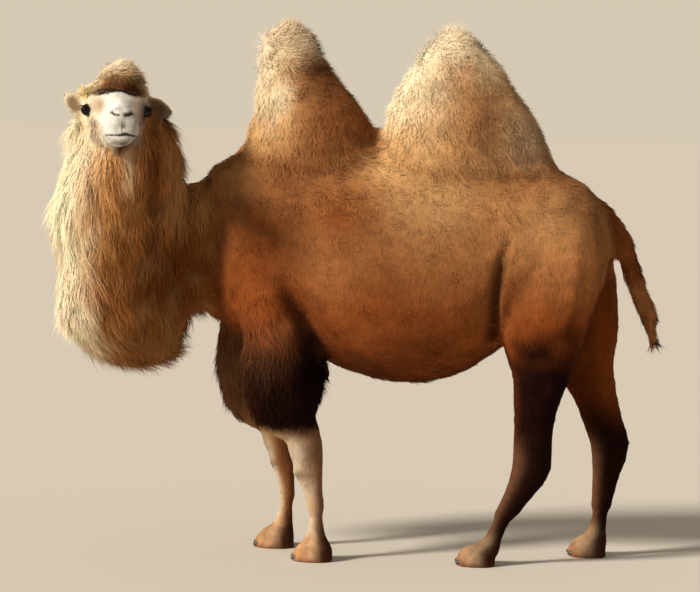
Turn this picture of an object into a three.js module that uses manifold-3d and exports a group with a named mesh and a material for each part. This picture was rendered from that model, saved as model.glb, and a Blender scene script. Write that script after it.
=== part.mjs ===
// A standing two-humped camel, life size, its head turned to its left.
// Millimetres, +Z up. The head end is towards -X and the animal's left side faces -Y.
// Every part of the body is a loft: rings of a rounded section that follow a line of named places.
import * as THREE from "three";
import { mergeVertices } from "three/addons/utils/BufferGeometryUtils.js";
import Module from "manifold-3d";

const wasm = await Module();
wasm.setup();

// Driving dimensions. The outlines include the coat, out to the tips of the hair.
const hoofSpread = 172; // a foot's distance from the middle plane
const kneeHeight = 430; // of the foreleg, above the ground
const eyeHeight = 1758;
const eyeRadius = 25;
const eyeSpacing = 228; // between the centres of the eyeballs
const headPlace = new THREE.Vector3(-968, -470, eyeHeight); // midway between the eyes
const headTurn = 99; // degrees that the head is turned to the left
const gap = 0.6; // clearance left where one part is cut by its neighbour
const seam = 0.4; // width of the thin cuts across a limb
const trim = 0.2; // how far a face may move when small facets along a cut are joined

// A section's place, its reach to the front or top, to the back or bottom, and to each side.
// turn swings it about the vertical, in degrees. Fullness 2 is an ellipse, more is squarer.
function place(x, y, z, ahead, behind, side, turn = 0, fullness = 2) {
  return { at: new THREE.Vector3(x, y, z), reach: new THREE.Vector3(ahead, behind, side), turn, fullness };
}

// Smooth values between the places: the centre line, the reaches and the turn.
function between(places, steps) {
  const line = new THREE.CatmullRomCurve3(places.map((p) => p.at), false, "centripetal");
  const reach = new THREE.CatmullRomCurve3(places.map((p) => p.reach), false, "centripetal");
  const sections = [];
  const last = (places.length - 1) * steps;
  for (let i = 0; i <= last; i++) {
    const t = i / last;
    const near = Math.min(Math.floor(i / steps), places.length - 2);
    const share = i / steps - near;
    const blend = (key) => THREE.MathUtils.lerp(places[near][key], places[near + 1][key], share);
    const sizes = reach.getPoint(t);
    sections.push({
      at: line.getPoint(t),
      tangent: line.getTangent(t),
      ahead: sizes.x,
      behind: sizes.y,
      side: sizes.z,
      turn: THREE.MathUtils.degToRad(blend("turn")),
      fullness: blend("fullness"),
    });
  }
  return sections;
}

// The points of one ring. It lies across the line, or across a fixed direction.
function ringOf(section, sides, grow, fixed, scale = 1, shift = 0) {
  const along = fixed || section.tangent;
  const across = new THREE.Vector3(-Math.sin(section.turn), Math.cos(section.turn), 0);
  across.addScaledVector(along, -across.dot(along)).normalize();
  const front = new THREE.Vector3().crossVectors(across, along);
  const rounded = (value) => Math.sign(value) * Math.abs(value) ** (2 / section.fullness);
  const ring = [];
  for (let i = 0; i < sides; i++) {
    const angle = ((i + 0.5) / sides) * 2 * Math.PI;
    const reach = Math.sin(angle) > 0 ? section.ahead : section.behind;
    ring.push(
      section.at
        .clone()
        .addScaledVector(across, rounded(Math.cos(angle)) * (section.side + grow) * scale)
        .addScaledVector(front, rounded(Math.sin(angle)) * (reach + grow) * scale)
        .addScaledVector(along, shift),
    );
  }
  return ring;
}

// The solid through the places. startRound and endRound are how far a rounded end stands out.
function loft(places, { sides = 24, steps = 2, fixed = null, startRound = 0, endRound = 0, grow = 0 } = {}) {
  const sections = between(places, steps);
  const rings = [];
  const capRings = 3;
  const cap = (section, length, direction) => {
    const made = [];
    for (let k = 1; k < capRings; k++) {
      const angle = (k / capRings) * (Math.PI / 2);
      made.push(ringOf(section, sides, grow, fixed, Math.cos(angle), direction * length * Math.sin(angle)));
    }
    return made;
  };
  const first = sections[0];
  const final = sections[sections.length - 1];
  if (startRound) rings.push(...cap(first, startRound + grow, -1).reverse());
  sections.forEach((section, i) => {
    const flatEnd = (i === 0 && !startRound) || (i === sections.length - 1 && !endRound);
    const shift = flatEnd ? (i === 0 ? -grow : grow) : 0;
    rings.push(ringOf(section, sides, grow, fixed, 1, shift));
  });
  if (endRound) rings.push(...cap(final, endRound + grow, 1));
  const pole = (section, length, direction) =>
    section.at.clone().addScaledVector(fixed || section.tangent, direction * (length + grow));
  const start = pole(first, startRound, -1);
  const end = pole(final, endRound, 1);

  const points = [...rings.flat(), start, end];
  const faces = [];
  for (let r = 0; r + 1 < rings.length; r++) {
    for (let i = 0; i < sides; i++) {
      const a = r * sides + i;
      const b = r * sides + ((i + 1) % sides);
      faces.push(a, a + sides, b + sides, a, b + sides, b);
    }
  }
  const lastRing = (rings.length - 1) * sides;
  for (let i = 0; i < sides; i++) {
    const next = (i + 1) % sides;
    faces.push(points.length - 2, i, next);
    faces.push(points.length - 1, lastRing + next, lastRing + i);
  }
  return solidOf(points, faces);
}

function solidOf(points, faces) {
  return new wasm.Manifold(
    new wasm.Mesh({
      numProp: 3,
      vertProperties: new Float32Array(points.flatMap((p) => [p.x, p.y, p.z])),
      triVerts: new Uint32Array(faces),
    }),
  );
}

// A three.js geometry, moved by a matrix, as a solid.
function solidFrom(geometry, matrix) {
  const bare = geometry.clone();
  bare.deleteAttribute("normal");
  bare.deleteAttribute("uv");
  const merged = mergeVertices(bare.applyMatrix4(matrix), 1e-3);
  return new wasm.Manifold(
    new wasm.Mesh({
      numProp: 3,
      vertProperties: merged.attributes.position.array,
      triVerts: new Uint32Array(merged.index.array),
    }),
  );
}

function geometryOf(solid) {
  const mesh = solid.getMesh();
  const geometry = new THREE.BufferGeometry();
  geometry.setAttribute("position", new THREE.BufferAttribute(mesh.vertProperties, 3));
  geometry.setIndex(new THREE.BufferAttribute(mesh.triVerts, 1));
  return geometry;
}

// The largest body of a solid, without the slivers that a cut may leave.
function mainBody(solid) {
  const largest = solid.decompose().reduce((best, body) => (body.volume() > best.volume() ? body : best));
  return largest.simplify(trim);
}

function carved(solid, ...neighbours) {
  return mainBody(neighbours.reduce((rest, neighbour) => rest.subtract(neighbour), solid));
}

// Cuts a solid across, and returns the side that the normal points to and the other side.
function parted(solid, normal, point) {
  const n = normal.clone().normalize();
  const offset = n.dot(point);
  return [
    mainBody(solid.trimByPlane(n.toArray(), offset + seam / 2)),
    mainBody(solid.trimByPlane(n.clone().negate().toArray(), -offset + seam / 2)),
  ];
}

const materials = {
  wool: new THREE.MeshStandardMaterial({ color: 0x9a6a40, roughness: 0.95, metalness: 0 }),
  paleWool: new THREE.MeshStandardMaterial({ color: 0xd3ab78, roughness: 0.95, metalness: 0 }),
  darkWool: new THREE.MeshStandardMaterial({ color: 0x3b2317, roughness: 0.95, metalness: 0 }),
  shortHair: new THREE.MeshStandardMaterial({ color: 0xc2ab8c, roughness: 0.9, metalness: 0 }),
  faceHair: new THREE.MeshStandardMaterial({ color: 0xd9d2c4, roughness: 0.85, metalness: 0 }),
  eye: new THREE.MeshStandardMaterial({ color: 0x1a0f0a, roughness: 0.1, metalness: 0 }),
  nail: new THREE.MeshStandardMaterial({ color: 0x3d332a, roughness: 0.5, metalness: 0 }),
};

const camel = new THREE.Group();
const body = new THREE.Group();
camel.add(body);

function add(name, solid, material) {
  const mesh = new THREE.Mesh(geometryOf(solid), material);
  mesh.name = name;
  body.add(mesh);
}

const up = new THREE.Vector3(0, 0, 1);
const down = new THREE.Vector3(0, 0, -1);
const towardsHead = new THREE.Vector3(-1, 0, 0);

// Trunk, from the rump forwards to the chest. ahead is up and behind is down.
const trunkPlaces = {
  buttock: place(952, 0, 1274, 170, 180, 135),
  rump: place(881, 0, 1294, 232, 300, 205),
  hip: place(761, 0, 1288, 300, 352, 250, 0, 1.95),
  loin: place(603, 0, 1224, 400, 342, 275, 0, 1.9),
  flank: place(436, 0, 1128, 540, 372, 318, 0, 1.9),
  paunch: place(247, 0, 1073, 600, 376, 350, 0, 1.95),
  barrel: place(48, 0, 1067, 556, 358, 352, 0, 2),
  girth: place(-154, 0, 1120, 502, 342, 325, 0, 1.95),
  withers: place(-337, 0, 1195, 462, 370, 290, 0, 1.9),
  shoulder: place(-508, 0, 1230, 398, 342, 250),
  chest: place(-637, 0, 1216, 325, 250, 180),
};
const makeTrunk = (grow) =>
  loft(Object.values(trunkPlaces), { sides: 20, fixed: towardsHead, startRound: 30, endRound: 25, grow });

// Humps, from the tip downwards. ahead is towards the head.
const frontHumpPlaces = {
  tip: place(-327, 0, 2122, 60, 60, 44),
  crest: place(-324, 0, 2080, 110, 110, 72),
  neck: place(-315, 0, 2000, 136, 136, 92),
  slope: place(-286, 0, 1907, 170, 172, 118),
  side: place(-252, 0, 1822, 214, 216, 142),
  shoulder: place(-223, 0, 1723, 262, 258, 168),
  root: place(-209, 0, 1599, 310, 262, 205),
};
const rearHumpPlaces = {
  tip: place(338, 0, 2112, 58, 58, 46),
  crest: place(338, 0, 2062, 116, 118, 82),
  neck: place(342, 0, 1980, 184, 190, 116),
  slope: place(349, 0, 1880, 246, 250, 148),
  side: place(365, 0, 1801, 296, 298, 176),
  shoulder: place(376, 0, 1711, 330, 336, 202),
  root: place(392, 0, 1577, 352, 388, 230),
};
const makeHump = (places, grow = 0) =>
  loft(Object.values(places), { sides: 16, steps: 1, fixed: down, startRound: 22, grow });

// Lower neck with its hanging mane, from inside the chest forwards. ahead is up.
const lowerNeckPlaces = {
  root: place(-519, 0, 1279, 240, 330, 190),
  base: place(-678, -8, 1234, 280, 275, 205, 4),
  drop: place(-732, -22, 1198, 290, 382, 218, 8),
  bend: place(-825, -55, 1140, 300, 392, 238, 12),
  sweep: place(-935, -95, 1127, 290, 384, 248, 16),
  breast: place(-1045, -130, 1123, 270, 350, 232, 20),
  front: place(-1147, -160, 1130, 200, 280, 180, 22),
};
const makeLowerNeck = (grow) =>
  loft(Object.values(lowerNeckPlaces), { sides: 16, fixed: towardsHead, endRound: 72, grow });

// Upper neck, from the bend up to the back of the skull. ahead is the nape.
const upperNeckPlaces = {
  root: place(-947, -130, 1026, 200, 210, 195, 25),
  bend: place(-966, -150, 1176, 250, 268, 236, 30),
  swell: place(-966, -182, 1346, 278, 304, 258, 40),
  middle: place(-953, -210, 1476, 272, 300, 254, 52),
  throat: place(-954, -236, 1596, 234, 250, 240, 66),
  nape: place(-964, -258, 1706, 192, 200, 222, 80),
  skull: place(-970, -272, 1776, 140, 140, 165, 92),
};
const makeUpperNeck = (grow) =>
  loft(Object.values(upperNeckPlaces), { sides: 16, fixed: up, endRound: 45, grow });

// Head. Its places are along the head, above eye level and to its side, and headFrame sets them in the body.
const headFrame = new THREE.Matrix4()
  .makeTranslation(headPlace.x, headPlace.y, headPlace.z)
  .multiply(new THREE.Matrix4().makeRotationZ(THREE.MathUtils.degToRad(headTurn)));
const inHead = (forwards, aside, above) => new THREE.Vector3(-forwards, aside, above).applyMatrix4(headFrame);
const headAxis = new THREE.Vector3(-1, 0, 0).transformDirection(headFrame);
function headPlaceAt(forwards, above, ahead, behind, side, fullness = 2) {
  const centre = inHead(forwards, 0, above);
  return place(centre.x, centre.y, centre.z, ahead, behind, side, headTurn, fullness);
}
const headPlaces = {
  poll: headPlaceAt(-190, 0, 80, 110, 84),
  crown: headPlaceAt(-130, 5, 118, 158, 116),
  cheek: headPlaceAt(-60, 0, 118, 158, 122, 2.1),
  brow: headPlaceAt(0, 0, 108, 150, 113, 2.15),
  bridge: headPlaceAt(55, -12, 88, 134, 92, 2.1),
  nose: headPlaceAt(110, -30, 72, 112, 74, 2.1),
  muzzle: headPlaceAt(165, -48, 66, 88, 68, 2.1),
  nostril: headPlaceAt(215, -62, 80, 70, 70, 2.2),
  lip: headPlaceAt(256, -72, 76, 60, 66, 2.2),
};
const makeHead = (grow) =>
  loft(Object.values(headPlaces), { sides: 16, fixed: headAxis, startRound: 20, endRound: 34, grow });

const eyeAt = (side) => inHead(0, (side * eyeSpacing) / 2, 0);
function makeEye(side, grow = 0) {
  const centre = eyeAt(side);
  const ball = new THREE.SphereGeometry(eyeRadius + grow, 11, 7);
  return solidFrom(ball, new THREE.Matrix4().makeTranslation(centre.x, centre.y, centre.z));
}

// The forelock's lower end spreads over the crown as far as the root of the right ear.
function forelockPlace(above, aside, length, width) {
  const centre = inHead(-62, aside, 0);
  return place(centre.x, centre.y, eyeHeight + above, length, length, width, headTurn);
}
const forelockPlaces = {
  top: forelockPlace(176, -14, 48, 50),
  crest: forelockPlace(150, -12, 80, 80),
  puff: forelockPlace(112, -10, 102, 103),
  edge: forelockPlace(76, 4, 103, 136),
  root: forelockPlace(40, 0, 82, 121),
};
const makeForelock = (grow) =>
  loft(Object.values(forelockPlaces), { sides: 12, steps: 1, fixed: down, startRound: 16, grow });

// Ears: leaf shapes with a hollow front. The first end is the tip.
function makeEar(tip, base, facing, halfWidth, halfThickness) {
  const along = new THREE.Vector3().subVectors(base, tip);
  const length = along.length();
  along.normalize();
  const across = new THREE.Vector3().crossVectors(facing, along).normalize();
  const frame = new THREE.Matrix4().makeBasis(across, along, new THREE.Vector3().crossVectors(across, along));
  const share = { tip: 0.05, blade: 0.24, wide: 0.55, root: 1 };
  const width = { tip: 0.6, blade: 0.96, wide: 1, root: 0.62 };
  const thick = { tip: 0.5, blade: 0.85, wide: 1, root: 1.25 };
  const places = Object.keys(share).map((key) => {
    const thickness = halfThickness * thick[key];
    return place(0, length * share[key], 0, thickness, thickness, halfWidth * width[key], 90);
  });
  const lengthwise = new THREE.Vector3(0, 1, 0);
  const blade = loft(places, { sides: 9, steps: 1, fixed: lengthwise, startRound: length * 0.08 });
  const hollow = new THREE.SphereGeometry(1, 8, 6);
  const scoop = new THREE.Matrix4()
    .makeTranslation(0, length * 0.5, halfThickness * 1.25)
    .multiply(new THREE.Matrix4().makeScale(halfWidth * 0.62, length * 0.36, halfThickness * 1.15));
  const place3d = new THREE.Matrix4().makeTranslation(tip.x, tip.y, tip.z).multiply(frame);
  const cut = blade.subtract(solidFrom(hollow, scoop));
  return cut.transform(place3d.toArray());
}
const rightEar = {
  tip: [-1166, -402, 1828],
  base: [-1100, -374, 1722],
  facing: [-0.1, -1, 0.15],
  width: 39,
  thick: 14,
};
const leftEar = {
  tip: [-766, -372, 1744],
  base: [-861, -350, 1805],
  facing: [0.15, -1, -0.1],
  width: 36,
  thick: 14,
};
function earSolid({ tip, base, facing, width, thick }) {
  const [tipAt, baseAt, front] = [tip, base, facing].map((values) => new THREE.Vector3(...values));
  return makeEar(tipAt, baseAt, front, width, thick);
}

// Tail, from the rump down to its tip. ahead is its inner side.
const tailPlaces = {
  root: place(836, 0, 1451, 60, 60, 60),
  dock: place(912, 0, 1429, 52, 52, 54),
  bend: place(970, 0, 1380, 50, 50, 50),
  stem: place(1027, 0, 1299, 46, 50, 44),
  middle: place(1060, 0, 1203, 44, 48, 40),
  tuft: place(1103, 0, 1099, 44, 46, 40),
  brush: place(1144, 0, 1000, 40, 42, 36),
  tip: place(1165, 0, 897, 20, 20, 18),
};
const tailCut = new THREE.Vector3(1073, 0, 1150);

// Forelegs. Both have the same reaches at the same heights, and differ in where each place stands.
const forelegReach = {
  shoulder: [1330, 176, 150, 94],
  upperArm: [1080, 188, 155, 122],
  elbow: [900, 178, 158, 124],
  sleeve: [745, 190, 170, 130],
  cuff: [630, 176, 152, 124],
  hem: [556, 124, 112, 102],
  wrist: [505, 76, 80, 72],
  knee: [kneeHeight, 66, 68, 60],
  shin: [340, 46, 50, 44],
  cannon: [240, 38, 42, 37],
  fetlock: [118, 46, 50, 49],
  pastern: [60, 52, 50, 52],
};
// Where each place stands on a foreleg, and how much farther it reaches ahead there.
const forelegStand = {
  left: [[-371], [-333], [-309], [-298], [-281], [-259], [-227], [-201, 9], [-182, 25], [-169, 4], [-160], [-156]],
  right: [[-411], [-411], [-415], [-417], [-395], [-369], [-339], [-317, 4], [-302, 6], [-289], [-288], [-298]],
};
// Hind legs. Each place has its reaches, and then where it stands on each leg: x, height, and what is added
// to its reach ahead and behind.
const hindlegReach = {
  hip: [176, 140, 90],
  thigh: [210, 190, 126],
  ham: [204, 196, 128],
  stifle: [184, 170, 116],
  gaskin: [126, 128, 92],
  calf: [97, 98, 76],
  aboveHock: [84, 90, 62],
  hock: [80, 94, 56],
  belowHock: [60, 66, 46],
  cannon: [47, 50, 41],
  fetlock: [44, 48, 47],
  pastern: [50, 50, 52],
};
const hindlegStand = {
  left: [[789, 1359], [785, 1219, 0, -16], [776, 1062, 4, -40], [735, 888, 16, -26], [716, 747, 2, -12],
    [700, 627, 3, -8], [688, 508], [684, 404], [645, 307], [595, 214], [548, 118], [530, 60]],
  right: [[809, 1360], [829, 1220], [848, 1071], [888, 892], [917, 773], [958, 663], [994, 550], [1022, 456],
    [1012, 339], [999, 219], [990, 118], [984, 60]],
};
const hipSpread = 130;
const upperSpread = 158;

function forelegPlaces(side) {
  const sign = side === "left" ? -1 : 1;
  return Object.values(forelegReach).map(([height, ahead, behind, wide], i) => {
    const [x, moreAhead = 0] = forelegStand[side][i];
    const spread = i < 4 ? upperSpread + 6 * i : hoofSpread;
    return place(x, sign * spread, height, ahead + moreAhead, behind, wide);
  });
}
function hindlegPlaces(side) {
  const sign = side === "left" ? -1 : 1;
  return Object.values(hindlegReach).map(([ahead, behind, wide], i) => {
    const [x, height, moreAhead = 0, moreBehind = 0] = hindlegStand[side][i];
    const spread = i === 0 ? hipSpread : THREE.MathUtils.lerp(150, hoofSpread, Math.min(i / 7, 1));
    return place(x, sign * spread, height, ahead + moreAhead, behind + moreBehind, wide);
  });
}

// A broad two-toed foot under a leg. x is the middle of its sole.
const footHeight = 96;
function makeFoot(x, sign, length) {
  const y = sign * hoofSpread;
  const front = length * 0.56;
  const heel = length * 0.44;
  const places = [
    place(x + 12, y, footHeight, front * 0.56, heel * 0.78, 54),
    place(x + 6, y, 62, front * 0.78, heel * 0.88, 70, 0, 2.1),
    place(x, y, 28, front * 0.97, heel, 84, 0, 2.2),
    place(x, y, 6, front, heel, 87, 0, 2.2),
    place(x, y, 0, front * 0.96, heel * 0.95, 83, 0, 2.2),
  ];
  const pad = loft(places, { sides: 12, steps: 1, fixed: down });
  const cleft = new THREE.CylinderGeometry(1, 1, 400, 6);
  const shape = new THREE.Matrix4()
    .makeTranslation(x - front, y, 20)
    .multiply(new THREE.Matrix4().makeScale(52, 8, 1))
    .multiply(new THREE.Matrix4().makeRotationX(Math.PI / 2));
  return pad.subtract(solidFrom(cleft, shape));
}
const nailSize = { length: 21, width: 15, height: 13 };
function makeNail(x, sign, length, toe, grow = 0) {
  const tip = x - length * 0.56 + 14;
  const y = sign * hoofSpread + toe * 38;
  const sizes = [nailSize.length, nailSize.width, nailSize.height].map((size) => size + grow);
  const shape = new THREE.Matrix4()
    .makeTranslation(tip, y, 20)
    .multiply(new THREE.Matrix4().makeRotationZ(toe * 0.3))
    .multiply(new THREE.Matrix4().makeScale(...sizes));
  return solidFrom(new THREE.SphereGeometry(1, 7, 4), shape);
}

// Trunk and humps.
const trunk = makeTrunk(0);
const trunkRoom = makeTrunk(gap);
add("trunk", trunk, materials.wool);
const frontHump = makeHump(frontHumpPlaces);
const frontHumpRoom = makeHump(frontHumpPlaces, gap);
add("hump_front", carved(frontHump, trunkRoom), materials.paleWool);
add("hump_rear", carved(makeHump(rearHumpPlaces), trunkRoom, frontHumpRoom), materials.paleWool);

// Neck: the lower part is cut by the trunk, and the upper part by the lower one.
const lowerNeck = makeLowerNeck(0);
const lowerNeckRoom = makeLowerNeck(gap);
const upperNeck = makeUpperNeck(0);
const upperNeckRoom = makeUpperNeck(gap);
const beardCut = new THREE.Vector3(-830, 0, 965);
const beardSlope = new THREE.Vector3(0.25, 0, -1);
const [beard, neckStem] = parted(carved(lowerNeck, trunkRoom), beardSlope, beardCut);
add("neck_lower", neckStem, materials.wool);
add("beard", beard, materials.wool);
add("neck_upper", carved(upperNeck, lowerNeckRoom, trunkRoom), materials.paleWool);

// Head and what it carries.
const head = makeHead(0);
const headRoom = makeHead(gap);
const sockets = [-1, 1].map((side) => makeEye(side, gap));
add("head", carved(head, upperNeckRoom, ...sockets), materials.faceHair);
add("forelock", carved(makeForelock(0), headRoom, upperNeckRoom), materials.wool);
const earRoom = [headRoom, upperNeckRoom, makeForelock(gap)];
add("eye_right", makeEye(1), materials.eye);
add("eye_left", makeEye(-1), materials.eye);
add("ear_right", carved(earSolid(rightEar), ...earRoom), materials.paleWool);
add("ear_left", carved(earSolid(leftEar), ...earRoom), materials.wool);

// Tail.
const tail = carved(loft(Object.values(tailPlaces), { sides: 10, endRound: 14 }), trunkRoom);
const [tailTuft, tailStem] = parted(tail, new THREE.Vector3(0.35, 0, -1), tailCut);
add("tail", tailStem, materials.wool);
add("tail_tuft", tailTuft, materials.darkWool);

// Legs. Each is cut across at its knee or hock and above its foot.
const feet = {
  fore: { left: -162, right: -322, length: 170 },
  hind: { left: 486, right: 955, length: 162 },
};
function addLeg(kind, side, places, jointHeight, colour) {
  const sign = side === "left" ? -1 : 1;
  const x = feet[kind][side];
  const { length } = feet[kind];
  const name = `${kind}leg_${side}`;
  const whole = loft(places, { sides: 10, steps: 2 }).add(makeFoot(x, sign, length));
  const leg = carved(whole, trunkRoom, lowerNeckRoom, ...(kind === "hind" ? [tail] : []));
  const [upper, rest] = parted(leg, up, new THREE.Vector3(0, 0, jointHeight));
  const [lower, foot] = parted(rest, up, new THREE.Vector3(0, 0, footHeight));
  add(`${name}_upper`, upper, colour);
  add(`${name}_lower`, lower, kind === "fore" ? materials.shortHair : colour);
  const toes = [-1, 1];
  const nailRooms = toes.map((toe) => makeNail(x, sign, length, toe, gap));
  add(`${name}_foot`, carved(foot, ...nailRooms), materials.shortHair);
  for (const toe of toes) {
    const which = toe === sign ? "outer" : "inner";
    add(`${name}_nail_${which}`, makeNail(x, sign, length, toe), materials.nail);
  }
}
for (const side of ["left", "right"]) {
  addLeg("fore", side, forelegPlaces(side), kneeHeight + 95, materials.darkWool);
  addLeg("hind", side, hindlegPlaces(side), hindlegStand[side][6][1] + 30, materials.wool);
}

// The origin is on the ground, under the middle of the whole outline.
const bounds = new THREE.Box3().setFromObject(body);
const middle = bounds.getCenter(new THREE.Vector3());
body.position.set(-middle.x, -middle.y, -bounds.min.z);

export default camel;
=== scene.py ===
# A Bactrian camel in its winter coat, standing, with its head turned to its left.
import math

import bmesh
import bpy
import numpy as np
from mathutils import Matrix, Vector
from mathutils.bvhtree import BVHTree


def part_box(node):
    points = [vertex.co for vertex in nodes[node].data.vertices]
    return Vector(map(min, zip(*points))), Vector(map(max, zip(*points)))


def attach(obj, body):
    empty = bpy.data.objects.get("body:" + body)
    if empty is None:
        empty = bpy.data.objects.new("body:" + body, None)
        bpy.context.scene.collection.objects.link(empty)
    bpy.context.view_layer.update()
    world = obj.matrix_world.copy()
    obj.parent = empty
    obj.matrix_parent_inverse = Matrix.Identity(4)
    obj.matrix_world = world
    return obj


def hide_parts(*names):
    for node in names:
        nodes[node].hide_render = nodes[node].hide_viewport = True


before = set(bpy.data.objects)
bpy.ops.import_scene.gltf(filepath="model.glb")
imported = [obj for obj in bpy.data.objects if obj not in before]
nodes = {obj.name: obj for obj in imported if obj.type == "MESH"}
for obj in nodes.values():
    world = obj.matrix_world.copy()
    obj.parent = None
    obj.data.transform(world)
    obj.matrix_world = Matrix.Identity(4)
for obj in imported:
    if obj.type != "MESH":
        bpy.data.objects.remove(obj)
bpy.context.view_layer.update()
trunkLow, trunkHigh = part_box("trunk")
shoulders = 0.662  # how far behind the front of the trunk they are
# body coordinates: x from the shoulders back, y = 0 in the middle plane, z above the ground
bodyOrigin = np.array([trunkLow.x + shoulders, (trunkLow.y + trunkHigh.y) / 2, 0.0])
sides = (("left", -1), ("right", 1))


# small helpers

def linear(hexColour):
    parts = [int(hexColour[i:i + 2], 16) / 255 for i in (1, 3, 5)]
    return np.array([c / 12.92 if c <= 0.04045 else ((c + 0.055) / 1.055) ** 2.4 for c in parts])


def soft(low, high, value):  # 0 below low, 1 above high, smooth between them
    t = np.clip((value - low) / (high - low), 0, 1)
    return t * t * (3 - 2 * t)


def bell(distance, width):  # 1 at no distance, fading out over the width
    return np.exp(-(distance / width) ** 2)


def blob(points, centre, radii):  # the same round a point
    return np.exp(-(((points - np.array(centre)) / np.array(radii)) ** 2).sum(1))


def unit(vectors):
    return vectors / np.maximum(np.linalg.norm(vectors, axis=-1, keepdims=True), 1e-9)


def ripple(points, size, seed):  # smooth waves about as wide as size, from -1 to 1 or so
    pick = np.random.default_rng(seed)
    total = np.zeros(len(points))
    for _ in range(8):
        way = pick.normal(size=3)
        way *= 2 * math.pi * pick.uniform(0.6, 1.5) / (size * 2 * np.linalg.norm(way))
        total += np.sin(points @ way + pick.uniform(0, 6.28))
    return total / 2.4


def middleOf(name):
    return np.array(sum(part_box(name), Vector())) / 2


def pointsOf(mesh):
    values = np.empty(len(mesh.vertices) * 3, np.float32)
    mesh.vertices.foreach_get("co", values)
    return values.reshape(-1, 3).astype(float)


def normalsOf(mesh):
    values = np.empty(len(mesh.vertices) * 3, np.float32)
    mesh.vertex_normals.foreach_get("vector", values)
    return values.reshape(-1, 3).astype(float)


def putPoints(mesh, points):
    mesh.vertices.foreach_set("co", points.astype(np.float32).ravel())
    mesh.update()


def putColour(mesh, name, colours):
    opaque = np.concatenate([colours, np.ones((len(colours), 1))], 1)
    mesh.attributes.new(name, "FLOAT_COLOR", "POINT")
    mesh.attributes[name].data.foreach_set("color", opaque.astype(np.float32).ravel())


def shadeSmooth(mesh):
    for poly in mesh.polygons:
        poly.use_smooth = True


def newSphere(name, **shape):
    bpy.ops.object.select_all(action="DESELECT")
    bpy.ops.mesh.primitive_uv_sphere_add(**shape)
    ball = bpy.context.object
    ball.name = name
    bpy.ops.object.transform_apply(location=True, rotation=True, scale=True)
    return ball


def newFinish(name):  # a material, its node tree and its shader
    finish = bpy.data.materials.new(name)
    finish.use_nodes = True
    return finish, finish.node_tree, finish.node_tree.nodes["Principled BSDF"]


def addNode(tree, kind, settings=None, links=None):
    node = tree.nodes.new(kind)
    for key, value in (settings or {}).items():
        if key in node.inputs:
            node.inputs[key].default_value = value
        else:
            setattr(node, key, value)
    for key, source in (links or {}).items():
        tree.links.new(source, node.inputs[key])
    return node


# skin, from the solids of flesh

skinSetup = {
    "voxel": 0.0138,  # coarse enough to close the thin cuts between the solids
    "swell": 0.0008,  # each solid grows by this, so that neighbours touch
    "smoothing": 14,  # rounds of smoothing all over, and then on the face
    "humpBlur": 90,  # how widely the humps melt into the back
    "humpSmoothing": 260,
    "humpFill": 0.014,  # the skin stands out this much more where they meet
    "padSmoothing": (26, 60),  # feet: all of the pad, then above its sole only
}
flesh = sorted(n for n in nodes if not n.startswith("eye_") and "_nail_" not in n)
feet = [n for n in flesh if n.endswith("_foot")]


def copyOfSolid(name):
    piece = nodes[name].copy()
    piece.data = piece.data.copy()
    piece.parent = None
    for key in list(piece.keys()):
        del piece[key]
    bpy.context.scene.collection.objects.link(piece)
    piece.data.materials.clear()
    bm = bmesh.new()
    bm.from_mesh(piece.data)
    bmesh.ops.remove_doubles(bm, verts=bm.verts, dist=1e-5)
    bm.normal_update()
    for v in bm.verts:
        v.co += v.normal * skinSetup["swell"]
    bm.to_mesh(piece.data)
    bm.free()
    return piece


def meltedTogether():
    copies = [copyOfSolid(name) for name in flesh]
    bpy.ops.object.select_all(action="DESELECT")
    for piece in copies:
        piece.select_set(True)
    bpy.context.view_layer.objects.active = copies[0]
    bpy.ops.object.join()
    whole = copies[0]
    whole.data.name = "skin"
    remesh = whole.modifiers.new("remesh", "REMESH")
    remesh.mode = "VOXEL"
    remesh.voxel_size = skinSetup["voxel"]
    bpy.ops.object.modifier_apply(modifier=remesh.name)
    bpy.ops.object.mode_set(mode="EDIT")
    bpy.ops.mesh.select_all(action="SELECT")
    bpy.ops.mesh.separate(type="LOOSE")
    bpy.ops.object.mode_set(mode="OBJECT")
    islands = sorted(bpy.context.selected_objects, key=lambda o: len(o.data.vertices))
    skin = islands.pop()
    for scrap in islands:
        bpy.data.objects.remove(scrap)
    skin.name = "skin"
    return skin


skin = meltedTogether()
print("skin: remeshed,", len(skin.data.vertices), "points")

# the head's own axes: forwards along the muzzle, aside towards the animal's right, up
eyeSpots = {side: middleOf("eye_" + side) for side, _ in sides}
headOrigin = (eyeSpots["left"] + eyeSpots["right"]) / 2
headAside = unit(eyeSpots["right"] - eyeSpots["left"])
headForwards = unit(np.cross([0, 0, 1], headAside))
if headForwards[1] > 0:
    headForwards = -headForwards
headAxes = np.array([headForwards, headAside, [0, 0, 1]])


def inHead(points):
    return (points - headOrigin) @ headAxes.T


def nearEyes(p, reach):
    return np.any([np.linalg.norm(p - spot, axis=1) < reach for spot in eyeSpots.values()], axis=0)


def nearFace(p):
    forward, across, up = inHead(p).T
    face = (forward > -0.1) & (abs(across) < 0.24) & (up < 0.13) & (up > -0.17)
    return face | (forward > -0.2) & (abs(across) > 0.1) & (abs(across) < 0.3) & (abs(up) < 0.12)


def nearFeet(p):
    return p[:, 2] < 0.09


def nearMuzzle(p):
    forward, across, up = inHead(p).T
    return (forward > 0.17) & (abs(across) < 0.09) & (up < 0.07) | nearEyes(p, 0.056)


def nearOpenings(p):  # the lids, the mouth and the nostrils
    forward, across, up = inHead(p).T
    mouth = (up < -0.070) & (up > -0.112)
    nostrils = abs(up + 0.004) < 0.020
    return (forward > 0.2) & (abs(across) < 0.066) & (mouth | nostrils) | nearEyes(p, 0.038)


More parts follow.
